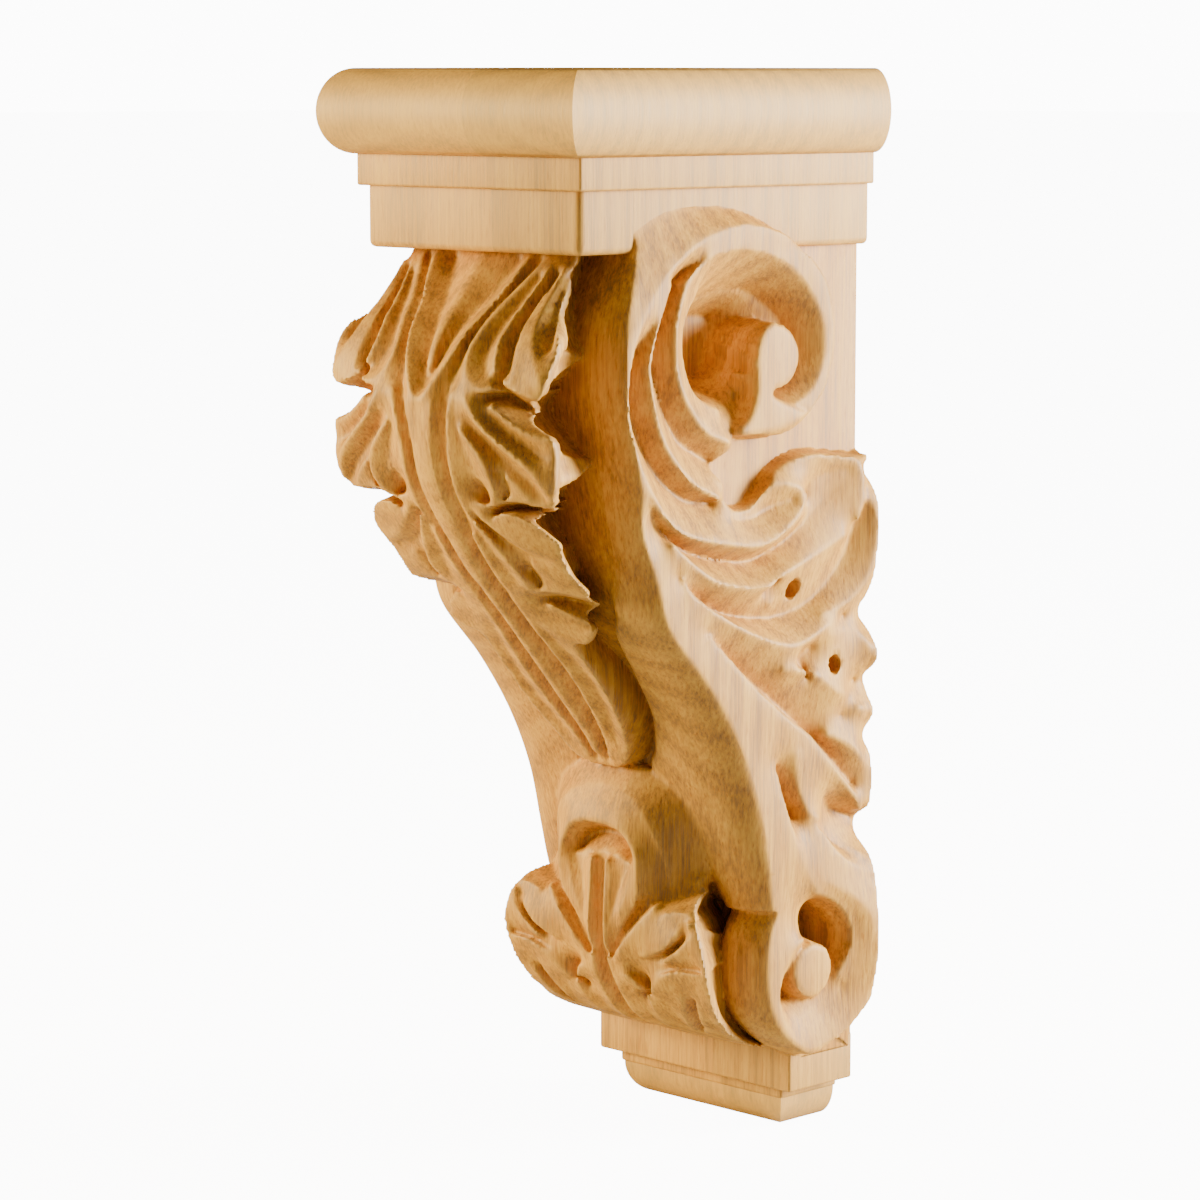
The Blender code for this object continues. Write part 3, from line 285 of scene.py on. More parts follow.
SIDE_STROKES = {
    "volute rim": VOLUTE_RIM,
    "volute rim inside": VOLUTE_RIM_INSIDE,
    "volute wall foot": VOLUTE_WALL_FOOT,
    "volute cove foot": COVE_FOOT,
    "volute hollow floor": HOLLOW_FLOOR,
    "first lobe ridge": [
        (-88, 113, 8.5), (-93, 105, 9), (-95.5, 92, 9), (-93, 78, 9), (-82, 64, 8.5), (-70, 59, 8),
    ],
    "first lobe inside": [(-82, 108, 5), (-89, 98, 6), (-89.5, 88, 6), (-84, 75, 6), (-72, 69, 5)],
    "first groove": [
        (-83, 118, 8), (-90, 113, 4), (-97, 104, 2.5), (-101.5, 87, 2.5), (-91, 63, 2.5),
        (-74, 53, 1),
    ],
    "second lobe ridge": [
        (-98, 110, 9.3), (-106.5, 90, 9.5), (-107, 80, 9.5), (-101, 62, 9), (-88, 48, 8.5),
        (-74, 41, 8),
    ],
    "second groove": [
        (-105.5, 98, 8), (-112.5, 85, 3.5), (-112.5, 75, 2.5), (-101, 53, 2.5), (-87, 42, 2.5),
        (-74, 39.5, 2),
    ],
    "third lobe ridge": [
        (-107, 43, 9), (-93, 32, 9.5), (-75, 27, 9.5), (-55, 25, 9.5), (-40, 31, 9), (-32.5, 39, 8),
    ],
    "third lobe dish": [(-66, 34.5, 5.5), (-57, 33.5, 4.5), (-48, 36, 4), (-38, 38.5, 6)],
    "third lobe end": [(-50, 43, 6), (-42, 43.5, 7.5), (-34.5, 41, 8)],
    "third groove": [
        (-106, 40.5, 8), (-100, 34, 4.5), (-85, 24.5, 3), (-62, 19.5, 2.5), (-52, 20, 2.5),
        (-36, 26.5, 3.5), (-22, 37, 4.5), (-13, 43.5, 7),
    ],
    "fourth lobe ridge": [
        (-96, 28, 9), (-86, 20, 9.5), (-75, 14, 10), (-55, 11, 10), (-44, 14.5, 9), (-27, 20, 8),
        (-14, 25, 8),
    ],
    "fourth lobe tip": [
        (-45, 49, 4), (-36, 51, 5.5), (-26.5, 52, 6.5), (-11, 50, 8), (-7, 45.5, 9), (-6, 38, 9),
        (-8, 30, 9),
    ],
    "fourth lobe dish": [(-31, 38, 2.5), (-28, 42, 4), (-20, 45.5, 5), (-12, 46, 7)],
    "fourth groove": [
        (-95, 19, 8), (-80, 8, 3.5), (-63, 2, 2.5), (-42, 0, 2.5), (-25, 5, 3.5), (-13, 16, 4.5),
        (-8, 28, 6), (-5, 34, 8),
    ],
    "fourth gouge": [(-46.5, 12.5, 5), (-50.5, 9, 4.5), (-47, 5, 5)],
    "sixth gouge": [(-28.5, -11.5, 5.5), (-34, -15, 4.5), (-31, -20.5, 5.5)],
    "fifth lobe ridge": [
        (-92, 17, 9), (-82, 8, 9.5), (-62, -3, 10), (-40, -9.5, 10), (-22, -4, 9), (-13, -2.5, 6),
    ],
    "fifth lobe crest": [(-5, 40, 8), (-1, 30, 10.5), (-3, 12, 9.5), (-12, 3, 8.5), (-25, -1, 8)],
    "sixth lobe": [(-44, -17, 9), (-30, -20, 9), (-16, -28, 9), (-6, -25, 4)],
    "sixth lobe hook": [(-22, -8, 9), (-10, -8, 8), (-3, -14, 10), (-6, -19, 8)],
    "ball": [(-14, -36, 6), (-7, -34, 9), (-3, -37, 8)],
    "fifth groove": [
        (-80, -1, 8), (-64, -14, 3), (-48, -25, 2.5), (-32, -37, 2.5), (-18, -49, 3.5),
        (-8, -59.5, 5),
    ],
    "seventh lobe ridge": [
        (-78, -3, 9), (-60, -20, 9), (-42, -34, 9), (-30, -42, 9), (-12, -60, 9), (-5, -68, 8),
    ],
    "seventh lobe back": [(-22, -41, 8), (-10, -47, 9), (-3, -55, 8), (-3, -66, 8)],
    "tail edge": [(-47, -47, 7), (-43, -62, 8.5), (-36, -80, 9), (-28, -92, 9)],
    "tail hollow": [(-45, -50, 4), (-41, -60, 1), (-35, -67, 0)],
    "tail hollow rim": [(-38, -46, 9), (-36, -56, 8), (-31, -66, 8), (-26, -69, 8)],
    "tail gap": [(-20, -63.5, 4), (-14, -68, 1), (-3, -72, 1)],
    "tail ridge": [(-27, -71, 8), (-15, -84, 9.5), (-2, -91.5, 10)],
    "tail groove": [(-25, -70.5, 5), (-17, -78, 5), (-5, -84, 8)],
    "tail band": [(-24, -90, 9.5), (-10, -98, 11), (-3, -106, 12), (-3, -120, 11)],
    "lower hollow rim": [
        (-28, -93, 9), (-18, -98, 9), (-11, -106, 9), (-10, -114, 9), (-15, -124, 7.5),
    ],
    "lower hollow floor": [(-24, -99, -8), (-17, -106, -10), (-16, -116, -8)],
    "lower volute edge": [
        (-33, -109, 8), (-40, -114, 8), (-44.5, -124, 8), (-43, -134, 8), (-37, -143, 8),
        (-27, -147, 8), (-12, -143, 8.5), (-1, -133, 9.5),
    ],
    "lower volute dish": [(-13, -128, 6.5), (-22, -135, 6), (-32, -136, 6)],
    "lower notch": [(-39, -123, 2), (-38, -127, -2), (-33, -129, 2)],
    "back edge": [
        (0, 46, 2), (0, 38, 9), (0, 28, 11), (0, 18, 10), (0, 10, 8.5), (0, 3, 5), (0, -2.5, 0.5),
        (0, -8, 6), (0, -15, 10.5), (0, -20, 9), (0, -24, 4), (0, -30, 6), (0, -36, 9),
        (0, -44, 4), (0, -52, 8), (0, -67, 7.5), (0, -72, 1), (0, -78, 1), (0, -87, 9),
        (0, -104, 12), (0, -120, 12), (0, -134, 9),
    ],
    "behind the frieze": [
        (-122, 128, 3), (-108, 135, 3), (-92, 138, 3), (-66, 138, 3), (-48, 134, 2), (-36, 128, 1),
    ],
    "front": [(-162, 120, 9), (-150, 60, 9), (-135, 30, 9), (-120, -10, 9), (-90, -60, 9)],
    "lower front": [(-80, -90, 8), (-70, -120, 8), (-70, -150, 8)],
}
PLAIN_SIDE = [
    (-66, 60.5), (-47, 59.5), (-38, 62), (-30, 68), (-24, 75), (-20, 90), (-23, 107), (-30, 116),
    (-38, 123), (-30, 142), (10, 142), (10, 55), (-1, 51), (-9, 51), (-27, 53), (-38, 51.5),
    (-46, 47.5), (-50, 43), (-57, 37.5), (-64, 37), (-69, 41), (-69.5, 46), (-73, 50), (-70.5, 53.5),
    (-66, 57),
]
PLAIN_FOOT = [
    (8, -124), (-2, -136), (-12, -144), (-27, -149), (-38, -148), (-46, -158), (8, -160),
]
# Flat-topped bosses: (outline, how far the top stands out from the plain side).
BOSSES = {
    "upper eye": (
        [
            (-50.5, 97.5), (-44, 95.5), (-39, 90.5), (-37.5, 84.5), (-40, 78.5), (-44, 75.5),
            (-49.5, 73.8), (-45, 71.5), (-38, 69), (-33, 66.5), (-40, 62), (-52.5, 60),
            (-64.5, 60.5), (-66, 63.5), (-62.5, 66.5), (-60, 71.5), (-59, 77), (-59.5, 84),
            (-58.5, 90), (-55.5, 95),
        ],
        9.5,
    ),
    "lower eye": (
        [
            (-28, -110), (-21, -113), (-18, -120), (-21, -127), (-28, -130), (-35, -127),
            (-38, -120), (-35, -113),
        ],
        8.0,
    ),
}
BOSS_ROUNDING = (1.2, 3.0)
DRILLED = {
    "fourth lobe eye": (-36.5, 8.5, 2.8, -3.0),
    "sixth lobe eye": (-19, -18, 2.3, -4.0),
}

# The front drawing: profiles are (height, how far out), strokes (sideways, height, from profile).
SCROLL_PROFILE = [
    (126, 112), (121, 112), (100, 120), (80, 121), (60, 118), (45, 115), (30, 112), (15, 108),
    (0, 104), (-19, 88), (-38, 75.5), (-58, 66.5), (-79, 60.5), (-97, 55), (-98, 52.5),
    (-99, 52.5), (-104, 55.5), (-112, 57.6), (-122, 57.6), (-131, 55.5), (-138, 51), (-144, 44),
    (-149, 35), (-154, 28),
]
SCROLL_CORNER = [
    (126, 5), (60, 5), (20, 9), (-20, 13), (-60, 16), (-95, 13), (-120, 13), (-140, 12), (-150, 9),
]
# Beside the middle the scroll sinks: how deep, from which edge, and over what width.
SCROLL_SINK = [
    (20, 0), (10, 1.5), (2, 5), (-10, 7), (-35, 7), (-46, 5), (-54, 1), (-60, 0), (-78, 0), (-87, 4),
    (-95, 8), (-102, 12), (-112, 15), (-130, 15), (-140, 11), (-148, 5), (-154, 0),
]
SCROLL_INNER_EDGE = [
    (20, 37), (7, 35.5), (-4, 31), (-18, 27), (-31, 25), (-44, 19.5), (-50, 16), (-60, 20),
    (-78, 28), (-88, 31), (-97, 33), (-108, 31.5), (-120, 31), (-132, 32), (-141, 35), (-150, 40),
]
SCROLL_INNER_ROUND = [(20, 5), (-60, 5), (-92, 9), (-150, 11)]

LEAF_PROFILE = [
    (126, 125), (118, 130), (107, 138), (96, 147), (84, 153), (74, 155.5), (60, 154), (50, 151.7),
    (40, 146.7), (20, 133), (0, 115), (-20, 97.5), (-40, 81), (-50, 75), (-60, 68),
]
LEAF_ROUND = [(0, 0), (10, -0.3), (20, -0.8), (30, -1.8), (40, -3.5), (50, -5.5), (60, -8)]
LEAF_UNDERCUT = [
    (130, 0.28), (46, 0.28), (38, 0.55), (8, 0.55), (-2, 0.3), (-12, 0.1), (-30, 0), (-60, 0),
]
# Below a leaf's lip the wood steps in, and there it is left in lumps by the gouge.
LEAF_STEP = [(130, 3.0), (100, 4.0), (15, 4.5), (0, 1.5), (-12, 0), (-60, 0)]
LUMPS = [
    (120, 0), (104, -0.7), (97, 0.9), (88, -0.8), (80, 1.0), (72, -0.6), (64, 0.9), (57, -0.7),
    (50, 0.9), (43, -0.8), (36, 0.6), (28, -0.6), (20, 0), (0, 0), (-150, 0),
]
LIP_THICKNESS = 4.0
LIP_STEP_DEPTH = 4.0
LEAF_OUTLINE = [
    (-60, 160), (38, 160), (38, 126), (38.5, 117), (40.5, 108), (43, 101), (49, 96), (51, 91),
    (50.5, 85), (49, 79), (45, 76), (40, 75.5), (37.5, 73.5), (41, 69.5), (46, 67), (50.5, 65),
    (51.5, 60),
    (51.5, 53), (50, 47), (46, 42.5), (40, 41.5), (37, 39), (40, 35.5), (43.5, 31), (42, 26),
    (41, 20), (42.5, 14), (39, 10.5), (34, 8), (32, 5.5), (34, 1), (33, -1.5), (28, -5),
    (22.5, -6), (22, -15), (21.5, -25), (19.5, -35), (14, -47), (8, -51), (0, -52), (-60, -52),
]
LEAF_STROKES = {
    "rib crest": [
        (1, 72, 0.5), (1, 45, 1.1), (1, 20, 1.4), (1, 0, 1.7), (1, -25, 1.7), (1, -46, 1.0),
    ],
    "rib shoulder": [(6, 74, 0.8), (4, 62, 0.8), (4, 45, 0.8), (3.2, 30, 0.8), (2.5, 15, 1)],
    "rib groove": [
        (26, 118, -2.5), (19.5, 108.5, -2.5), (16.5, 102, -2.5), (14, 94.5, -2.5), (12.5, 87, -2.5),
        (11, 78.5, -2.5), (9.2, 68, -2.5), (8.2, 57.5, -2.5), (7.5, 45, -2.5), (6.5, 33, -2.5),
        (5.2, 20, -3.0), (4.3, 9, -3.4), (4.8, 0, -3.4), (6, -8, -3.4), (6.8, -18, -3.4),
        (6.2, -28, -3.2), (4.8, -38, -3.0), (3, -48, -2.2),
    ],
    "groove edge": [
        (9.0, 10, 0.3), (8.6, 3, 0.5), (9.6, -6, 0.6), (10.8, -18, 0.6), (9.6, -30, 0.6),
        (7.6, -39, 0.5), (5.2, -48, 0.3),
    ],
    "blade hollow": [
        (12.5, -2, -0.6), (15.5, -11, -1.2), (17, -20, -1.4), (15.5, -30, -1.2), (11, -41, -0.8),
    ],
    "arm crest": [
        (2, 75, 1.2), (8.5, 85, 1), (13, 95, 0.8), (16.5, 103, 0.6), (19.5, 111, 0.5),
        (21.5, 118, 0.5),
    ],
    "notch groove": [
        (0, 76, -1), (1.5, 83, -3), (4, 92.5, -3.8), (7.5, 101.5, -4.2), (12, 111.5, -4.5),
        (15, 118, -4.5),
    ],
    "notch tongue": [(1, 84, -1.5), (1, 95, -0.5), (1, 120, -0.5)],
    "first lip": [
        (28.5, 118, 0), (24, 109.5, 0.3), (21, 103.5, 0.5), (18.5, 96, 0.5), (17, 90.5, 0.5),
        (18.5, 84, 0.5), (23, 80, 0.3), (27, 78.8, 0.2), (30.5, 79.8, 0.2),
    ],
    "first hollow": [
        (29.5, 113, -1.5), (26.5, 104.5, -2.2), (24, 96.5, -2.8), (22.5, 90, -2.8), (25, 84.5, -2),
    ],
    "first hollow edge": [
        (32, 116, 0.2), (30, 107, 0.4), (28.8, 100, 0.5), (28.2, 92.5, 0.5), (30, 85, 0.3),
    ],
    "first groove": [
        (34, 114, -3), (32.5, 106.5, -3.5), (31.8, 99, -3.8), (31, 92, -3.8), (32, 85.5, -4),
        (31, 80.5, -5),
    ],
    "first strip": [(35.5, 108, 0), (35, 99, 0.3), (36.5, 90, 0.3), (37, 82, 0)],
    "first ridge": [
        (37.5, 116, 0), (37.5, 108, 0.5), (38.5, 101, 1), (41, 94, 1.2), (45.5, 87, 1.2),
        (49, 81, 0.5),
    ],
    "first scoop": [(39, 112, -3), (40.5, 104, -3.2), (43.5, 98, -3.5), (46, 92, -2.5)],
    "first edge": [
        (38.5, 118, -3), (40, 111, -3), (43, 103, -1.5), (48, 97, 0), (50.5, 91, 0.5),
        (50, 85, 0.3), (49, 79, -0.5),
    ],
    "first end": [(33.5, 82, -0.5), (37.5, 80.2, -0.5), (42.5, 78.5, -0.5), (47, 77.5, -1)],
    "first pocket": [(27, 77.2, -6), (31.5, 76.8, -9), (35, 73.8, -11), (40, 72, -12), (49, 72, -13)],
    "second top": [
        (29.5, 74, -1.2), (34.5, 70.5, -1.4), (40, 67.2, -1.5), (45.5, 65, -1.8), (50, 64.5, -2.2),
    ],
    "second scoop": [
        (26, 72.8, -1.5), (30, 69, -3), (36, 64.8, -3.3), (42.5, 61, -3.3), (48, 58.5, -2.5),
    ],
    "second ridge": [
        (20.5, 76, 0.8), (23, 72.5, 1), (26.5, 68, 1), (33, 63, 1.2), (39.5, 58.5, 1.2),
        (44, 54.5, 1), (47, 50, 0.8), (48.5, 46, 0),
    ],
    "second groove": [
        (20, 68.5, -1.8), (24, 64, -3), (29, 60, -3.2), (34.5, 55.5, -3.2), (41, 50.5, -2.8),
        (45, 46, -1.8),
    ],
    "second face": [(33, 52, -1), (37, 48.5, -0.3), (40, 45, 0)],
    "second inner ridge": [
        (17, 66, 0.4), (22, 61.5, 0.8), (25.5, 57, 1), (27.5, 52, 1), (27.5, 47, 0.5), (25, 43, 0),
    ],
    "second inner groove": [(30, 53, -2.2), (31, 48, -2.8), (29.5, 44.5, -3)],
    "second hollow": [(15, 73, -0.5), (16, 65, -1.2), (18.5, 57, -1.8), (22, 50, -1.8)],
    "second lip": [(14, 77.5, 0), (12.2, 68.5, 0), (11, 58, 0), (11, 45.5, 0), (11.5, 38, 0)],
    "second eye": [(19.5, 49, -4), (19, 45.5, -6), (20.5, 43, -5)],
    "second end": [
        (15.5, 41.5, -0.5), (22, 42, -0.5), (29, 44, -0.5), (34, 44.8, -0.5), (41, 43.5, -0.5),
        (46, 43.5, -1),
    ],
    "second pocket": [(22, 40, -5), (27, 41.5, -8), (33, 41.5, -10), (39, 40.5, -11), (45, 39.5, -12)],
    "third top": [(23, 38.5, 0), (29, 39.2, 0), (34, 38.2, 0), (38, 36, 0), (43, 32.5, 0)],
    "third groove": [
        (12.5, 38.5, -2), (16, 33.5, -2.8), (20.5, 29.5, -2.8), (27, 26, -2.5), (34, 24.5, -1.5),
    ],
    "third slab": [(16.5, 38.5, 0.5), (24, 32.5, 0.8), (30, 28.8, 0.8), (37, 27, 0.3), (41, 28.5, 0)],
    "third lip": [(8.8, 31, 0.2), (8.8, 22.5, 0.2), (9, 15, 0.2), (12, 11.8, 0), (16, 12, 0)],
    "third ridge": [(13, 36, 0.5), (16.5, 29.5, 0.6), (19, 23, 0.9), (21, 18.5, 0.9), (19.5, 14, 0)],
    "third hollow": [(11.5, 32, -1), (13, 24, -1.3), (15.5, 17, -1.3)],
    "third eye": [(22.8, 21, -4.5), (22.5, 18.5, -5), (23.5, 16, -4)],
    "third face": [(28, 22, -0.8), (33, 19.5, -0.8), (38, 17.5, -0.8)],
    "third end": [
        (18.5, 12.5, -0.5), (24, 13.5, -0.8), (32, 13.8, -0.8), (38.5, 13, -1), (41.5, 12.5, -1),
    ],
    "third pocket": [(19, 10.3, -4), (25, 10.5, -8), (31, 9, -10), (37, 7.5, -12)],
    "stem shelf": [(21.5, 8, -1.5), (25.5, 6, -1.8), (30, 3.8, -1.8), (33.5, 1.5, -2)],
    "stem tip": [(12, 5, 0.2), (16, -1, 0.2), (21.5, -4.6, 0.3), (28, -4, 0.3), (33, -0.5, 0)],
    "stem edge": [
        (22, -7, 0.2), (22.4, -14, 0.8), (22, -24, 0.8), (19.6, -34, 0.8), (14.6, -45, 0.5),
        (10, -50, 0.2),
    ],
}

LOW_LEAF_PROFILE = [
    (-45, 66), (-52, 71), (-60, 75), (-68, 77.5), (-80, 77.5), (-108, 77.5), (-121, 74),
    (-130, 69), (-137, 63), (-142, 55), (-146, 44), (-149, 24), (-151, 8),
]
LOW_LEAF_ROUND = [(0, 0), (20, -0.4), (30, -0.9), (40, -1.7), (47, -2.6), (60, -5)]
LOW_LEAF_UNDERCUT = [(-40, 0), (-84, 0), (-96, 0.4), (-150, 0.4)]
LOW_LEAF_STEP = [(-40, 0), (-84, 0), (-96, 2.0), (-150, 2.0)]
LOW_LEAF_OUTLINE = [
    (-60, -49.5), (0, -49.5), (12, -50.5), (20, -54), (28, -59), (32.5, -68), (34, -77),
    (34.5, -85), (35, -89), (40, -94), (44, -100), (46.8, -107), (47.5, -115), (46.5, -124),
    (44.5, -133), (43, -141), (42, -150), (40, -180), (-60, -180),
]
LOW_LEAF_STROKES = {
    "hood edge": [
        (0, -50, -0.5), (12, -51, -1.5), (20, -54.5, -4), (28, -59.5, -8), (32, -68, -12.5),
        (33.5, -77, -15), (34, -85, -16.5),
    ],
    "hood": [
        (0, -58, 0), (9, -60, -0.5), (17, -64, -1.5), (22, -72, -3.5), (25, -82, -6.5),
        (25, -90, -8),
    ],
    "hood lip": [
        (1, -70, 0.6), (6, -70.2, 0.5), (11, -71.5, 0.3), (15.5, -76, 0), (18, -82, 0), (18, -89, -0.5),
        (17, -94.5, -1), (12.5, -100.5, -1.5), (6, -109.5, -2), (3.5, -115, -2),
    ],
    "hood shade": [(1, -74.5, -8.5), (5, -75, -8.5), (9.5, -77.5, -7.5), (13, -82, -6)],
    "hood floor": [(1, -81.5, -3.8), (7, -81.5, -3.3), (12, -85, -3)],
    "hood foot": [(18, -96, -3.5), (21, -95, -5), (27.5, -93.5, -8.5), (33, -91.5, -12), (36, -90, -14)],
    "vein": [(1, -82.5, -4.2), (1, -108, -4), (1, -125, -4), (1, -141, -3.5)],
    "vein edge": [
        (3.6, -82.5, -1), (3.8, -97.5, -0.2), (3.8, -107, 0.2), (4, -119, 0.3), (4.2, -130, 0.3),
        (4.6, -141, 0.3),
    ],
    "inner groove": [(13, -81.5, -3), (10, -87, -3), (7.5, -96, -2.2), (5.5, -103, -1)],
    "inner leaf": [(15.5, -84, -1), (13.5, -92, -1), (10, -100, -0.8)],
    "upper groove": [(20, -96.5, -5), (13.5, -103.5, -4.5), (8, -111, -3.5), (5.5, -115, -2.5)],
    "upper edge": [(25, -96, -2), (18.5, -103, -0.3), (12.5, -109.5, 0), (6.5, -115.5, 0)],
    "upper crest": [(30, -97.5, -1.5), (38, -96.5, -2), (42, -98, -1.5)],
    "side groove": [(40, -100.5, -3.5), (35, -107, -3.5), (28.5, -111.5, -3.5), (20, -114.5, -2)],
    "side groove top": [(41.5, -99, 0.5), (36, -105, 0.5), (29.5, -109.8, 0.5), (21, -113.2, 0)],
    "side groove foot": [(42.5, -104, 0.3), (37, -109, 0.3), (30, -113.3, 0.3)],
    "side edge": [
        (40, -94.5, -4), (44, -100, -0.5), (46.3, -107, 0.5), (46.8, -115, 0.5), (46, -124, 0.5),
        (44, -133, 0),
    ],
    "eye": [(13, -119.5, -3), (16, -122.5, -5.5), (16.5, -126, -6.5), (14.5, -128.5, -4.5)],
    "low ridge": [
        (20, -126, 0.3), (24, -122.5, 0.8), (30, -118.5, 0.8), (36, -116.5, 0.5), (45, -116, 0.5),
    ],
    "low split": [(26, -117, -1.5), (34, -115.3, -1.8), (44, -114.8, -1.8)],
    "oval": [
        (4.8, -127, 0), (6.5, -123.5, 0.4), (10, -121.5, 0.6), (13.5, -124, 0.4), (17, -130, 0.2),
        (15.5, -141, 0),
    ],
    "oval hollow": [(9, -126, -1), (10.5, -134, -1.2), (11, -142, -1)],
    "low hollow": [(24, -130, -0.8), (26, -138, -0.8)],
    "low groove": [(36, -127, -4), (33, -133, -4), (30, -139.5, -3.5)],
    "low groove edge": [(39, -128, 0.3), (36, -136, 0.3)],
    "low groove inner edge": [(33, -126, 0), (30, -133, 0), (27, -140, 0)],
    "bottom": [(44, -135, -1), (35, -138.5, -0.5), (20, -141.5, -0.5), (4.5, -143, -0.5)],
}


def scaled(strokes, across, height):
    """Drawn strokes at the real size."""
    return [
        [(a * across, drawn_height(b), c * height) for a, b, c in stroke] for stroke in strokes
    ]


def drawn_height(z):
    return FOOT_TOP * MM + (z - DRAWN_BOTTOM) * HEIGHT_SCALE


def drawn_outline(points, across):
    return [(a * across, drawn_height(b)) for a, b in points]


def drawn_profile(points, at):
    return DEPTH_SCALE * profile([(drawn_height(z), value) for z, value in points], at)


def side_heights(out, up, soft):
    """How far the side stands out from the middle plane, over distance from wall and height."""
    skin = stretched_skin(scaled(SIDE_STROKES.values(), DEPTH_SCALE, RELIEF_SCALE), out, up)
    for y, z, radius, floor_height in DRILLED.values():
        distance = np.hypot(out[:, None] - y * DEPTH_SCALE, up[None] - drawn_height(z))
        hole = np.clip((radius - distance) / soft + 0.5, 0, 1)
        skin = skin * (1 - hole) + floor_height * RELIEF_SCALE * hole
    drop, reach = BOSS_ROUNDING
    for outline, face in BOSSES.values():
        within = inside_by(drawn_outline(outline, DEPTH_SCALE), out, up)
        boss = np.clip(within / soft + 0.5, 0, 1)
        top = face - drop * (1 - np.clip(within / reach, 0, 1)) ** 2
        skin = skin * (1 - boss) + top * RELIEF_SCALE * boss
    plain = inside_by(drawn_outline(PLAIN_SIDE, DEPTH_SCALE), out, up)
    plain = np.maximum(plain, inside_by(drawn_outline(PLAIN_FOOT, DEPTH_SCALE), out, up))
    return BODY_HALF_WIDTH * MM + skin * np.clip(0.5 - plain / soft, 0, 1)


def scroll_front(side, up):
    """How far the scroll stands out from the wall, over the distance sideways and the height."""
    rim = (BODY_HALF_WIDTH + SIDE_RELIEF) * MM
    corner_start = CORNER_START * BODY_HALF_WIDTH * MM
    turn = np.clip((side - corner_start) / (rim - corner_start), 0, 1)[:, None]
    corner = drawn_profile(SCROLL_CORNER, up)[None]
    setback = corner * (1 - np.sqrt(1 - CORNER_FULLNESS * turn**2))
    front = drawn_profile(SCROLL_PROFILE, up)[None] - setback
    inner_edge = profile([(drawn_height(z), x * WIDTH_SCALE) for z, x in SCROLL_INNER_EDGE], up)
    rounded = profile([(drawn_height(z), x * WIDTH_SCALE) for z, x in SCROLL_INNER_ROUND], up)
    flat = np.clip((side[:, None] - inner_edge[None]) / rounded[None], 0, 1)
    return front - drawn_profile(SCROLL_SINK, up)[None] * (1 - np.sqrt(1 - (1 - flat) ** 2))


def leaf_front(strokes, heights, rounding, outline, side, up):
    """How far a leaf stands out from the wall, and how far each point lies inside its outline."""
    leaf = stretched_skin(scaled(strokes.values(), WIDTH_SCALE, DEPTH_SCALE), side, up)
    leaf = leaf + drawn_profile(heights, up)[None]
    leaf = leaf + DEPTH_SCALE * profile(rounding, side / WIDTH_SCALE)[:, None]
    return leaf, inside_by(drawn_outline(outline, WIDTH_SCALE), side, up)


def in_largest_shell(count, quads):
    """Whether each point is on the largest connected surface, which leaves out bubbles and crumbs."""
    edges = np.concatenate([quads[:, [0, 1]], quads[:, [1, 2]], quads[:, [2, 3]]]).astype(int)
    label = np.arange(count)
    settled = False
    while not settled:
        lowest = label[edges].min(axis=1)
        joined = label.copy()
        np.minimum.at(joined, label[edges[:, 0]], lowest)
        np.minimum.at(joined, label[edges[:, 1]], lowest)
        joined = joined[joined]
        settled = (joined == label).all()
        label = joined
    return label == np.bincount(label).argmax()


def carved_body(voxel):
    """The carved body: the wood that lies inside both the side drawing and the front drawing."""
    widest = (BODY_HALF_WIDTH + 2 * SIDE_RELIEF) * MM
    side = np.arange(0.5, widest / voxel + MARGIN) * voxel
    out = np.arange(-DEPTH_SCALE * DRAWN_DEPTH, (MARGIN + 1) * voxel, voxel)
    low = (FOOT_TOP - JOINT_OVERLAP) * MM
    high = (FRIEZE_BOTTOM + SCROLL_RISE) * MM
    up = np.arange(low - MARGIN * voxel, high + MARGIN * voxel, voxel)
    soft = SOFT_EDGE * voxel
    front = scroll_front(side, up)[:, None] + out[None, :, None]
    leaves = (
        (LEAF_STROKES, LEAF_PROFILE, LEAF_ROUND, LEAF_OUTLINE, LEAF_UNDERCUT, LEAF_STEP),
        (LOW_LEAF_STROKES, LOW_LEAF_PROFILE, LOW_LEAF_ROUND, LOW_LEAF_OUTLINE, LOW_LEAF_UNDERCUT,
         LOW_LEAF_STEP),
    )
    lumps = profile([(drawn_height(z), value) for z, value in LUMPS], up) * WIDTH_SCALE
    for *drawing, undercut, step in leaves:
        leaf, inside = leaf_front(*drawing, side, up)
        below = leaf[:, None] + out[None, :, None]
        slope = profile([(drawn_height(z), share) for z, share in undercut], up)
        stepped = profile([(drawn_height(z), value) for z, value in step], up) * WIDTH_SCALE
        behind_lip = np.clip((below - LIP_THICKNESS) / LIP_STEP_DEPTH, 0, 1)
        inset = slope * below + behind_lip * (stepped - lumps)
        front = np.maximum(front, np.minimum(below, inside[:, None] - inset))
    half = np.minimum(front, side_heights(out, up, soft)[None] - side[:, None, None])
    half = np.minimum(half, -out[None, :, None])
    half = np.minimum(half, np.minimum(up - low, high - up)[None, None])
    half = np.clip(half, -MARGIN * voxel, MARGIN * voxel)
    whole = np.concatenate([half[::-1], half])
    grid = openvdb.FloatGrid(-MARGIN * voxel)
    grid.copyFromArray(whole.astype(np.float32))
    points, _, quads = grid.convertToPolygons(isovalue=0.0, adaptivity=0.0)
    points = points.astype(float) * voxel
    points += (-side[-1], out[0], up[0])
    kept = in_largest_shell(len(points), quads)
    place = np.cumsum(kept) - 1
    corners = place[quads[kept[quads[:, 0]]]][:, ::-1]
    mesh = bpy.data.meshes.new("carved_body")
    mesh.from_pydata((points[kept] / MM).tolist(), [], corners.tolist())
    mesh.validate()
    return mesh


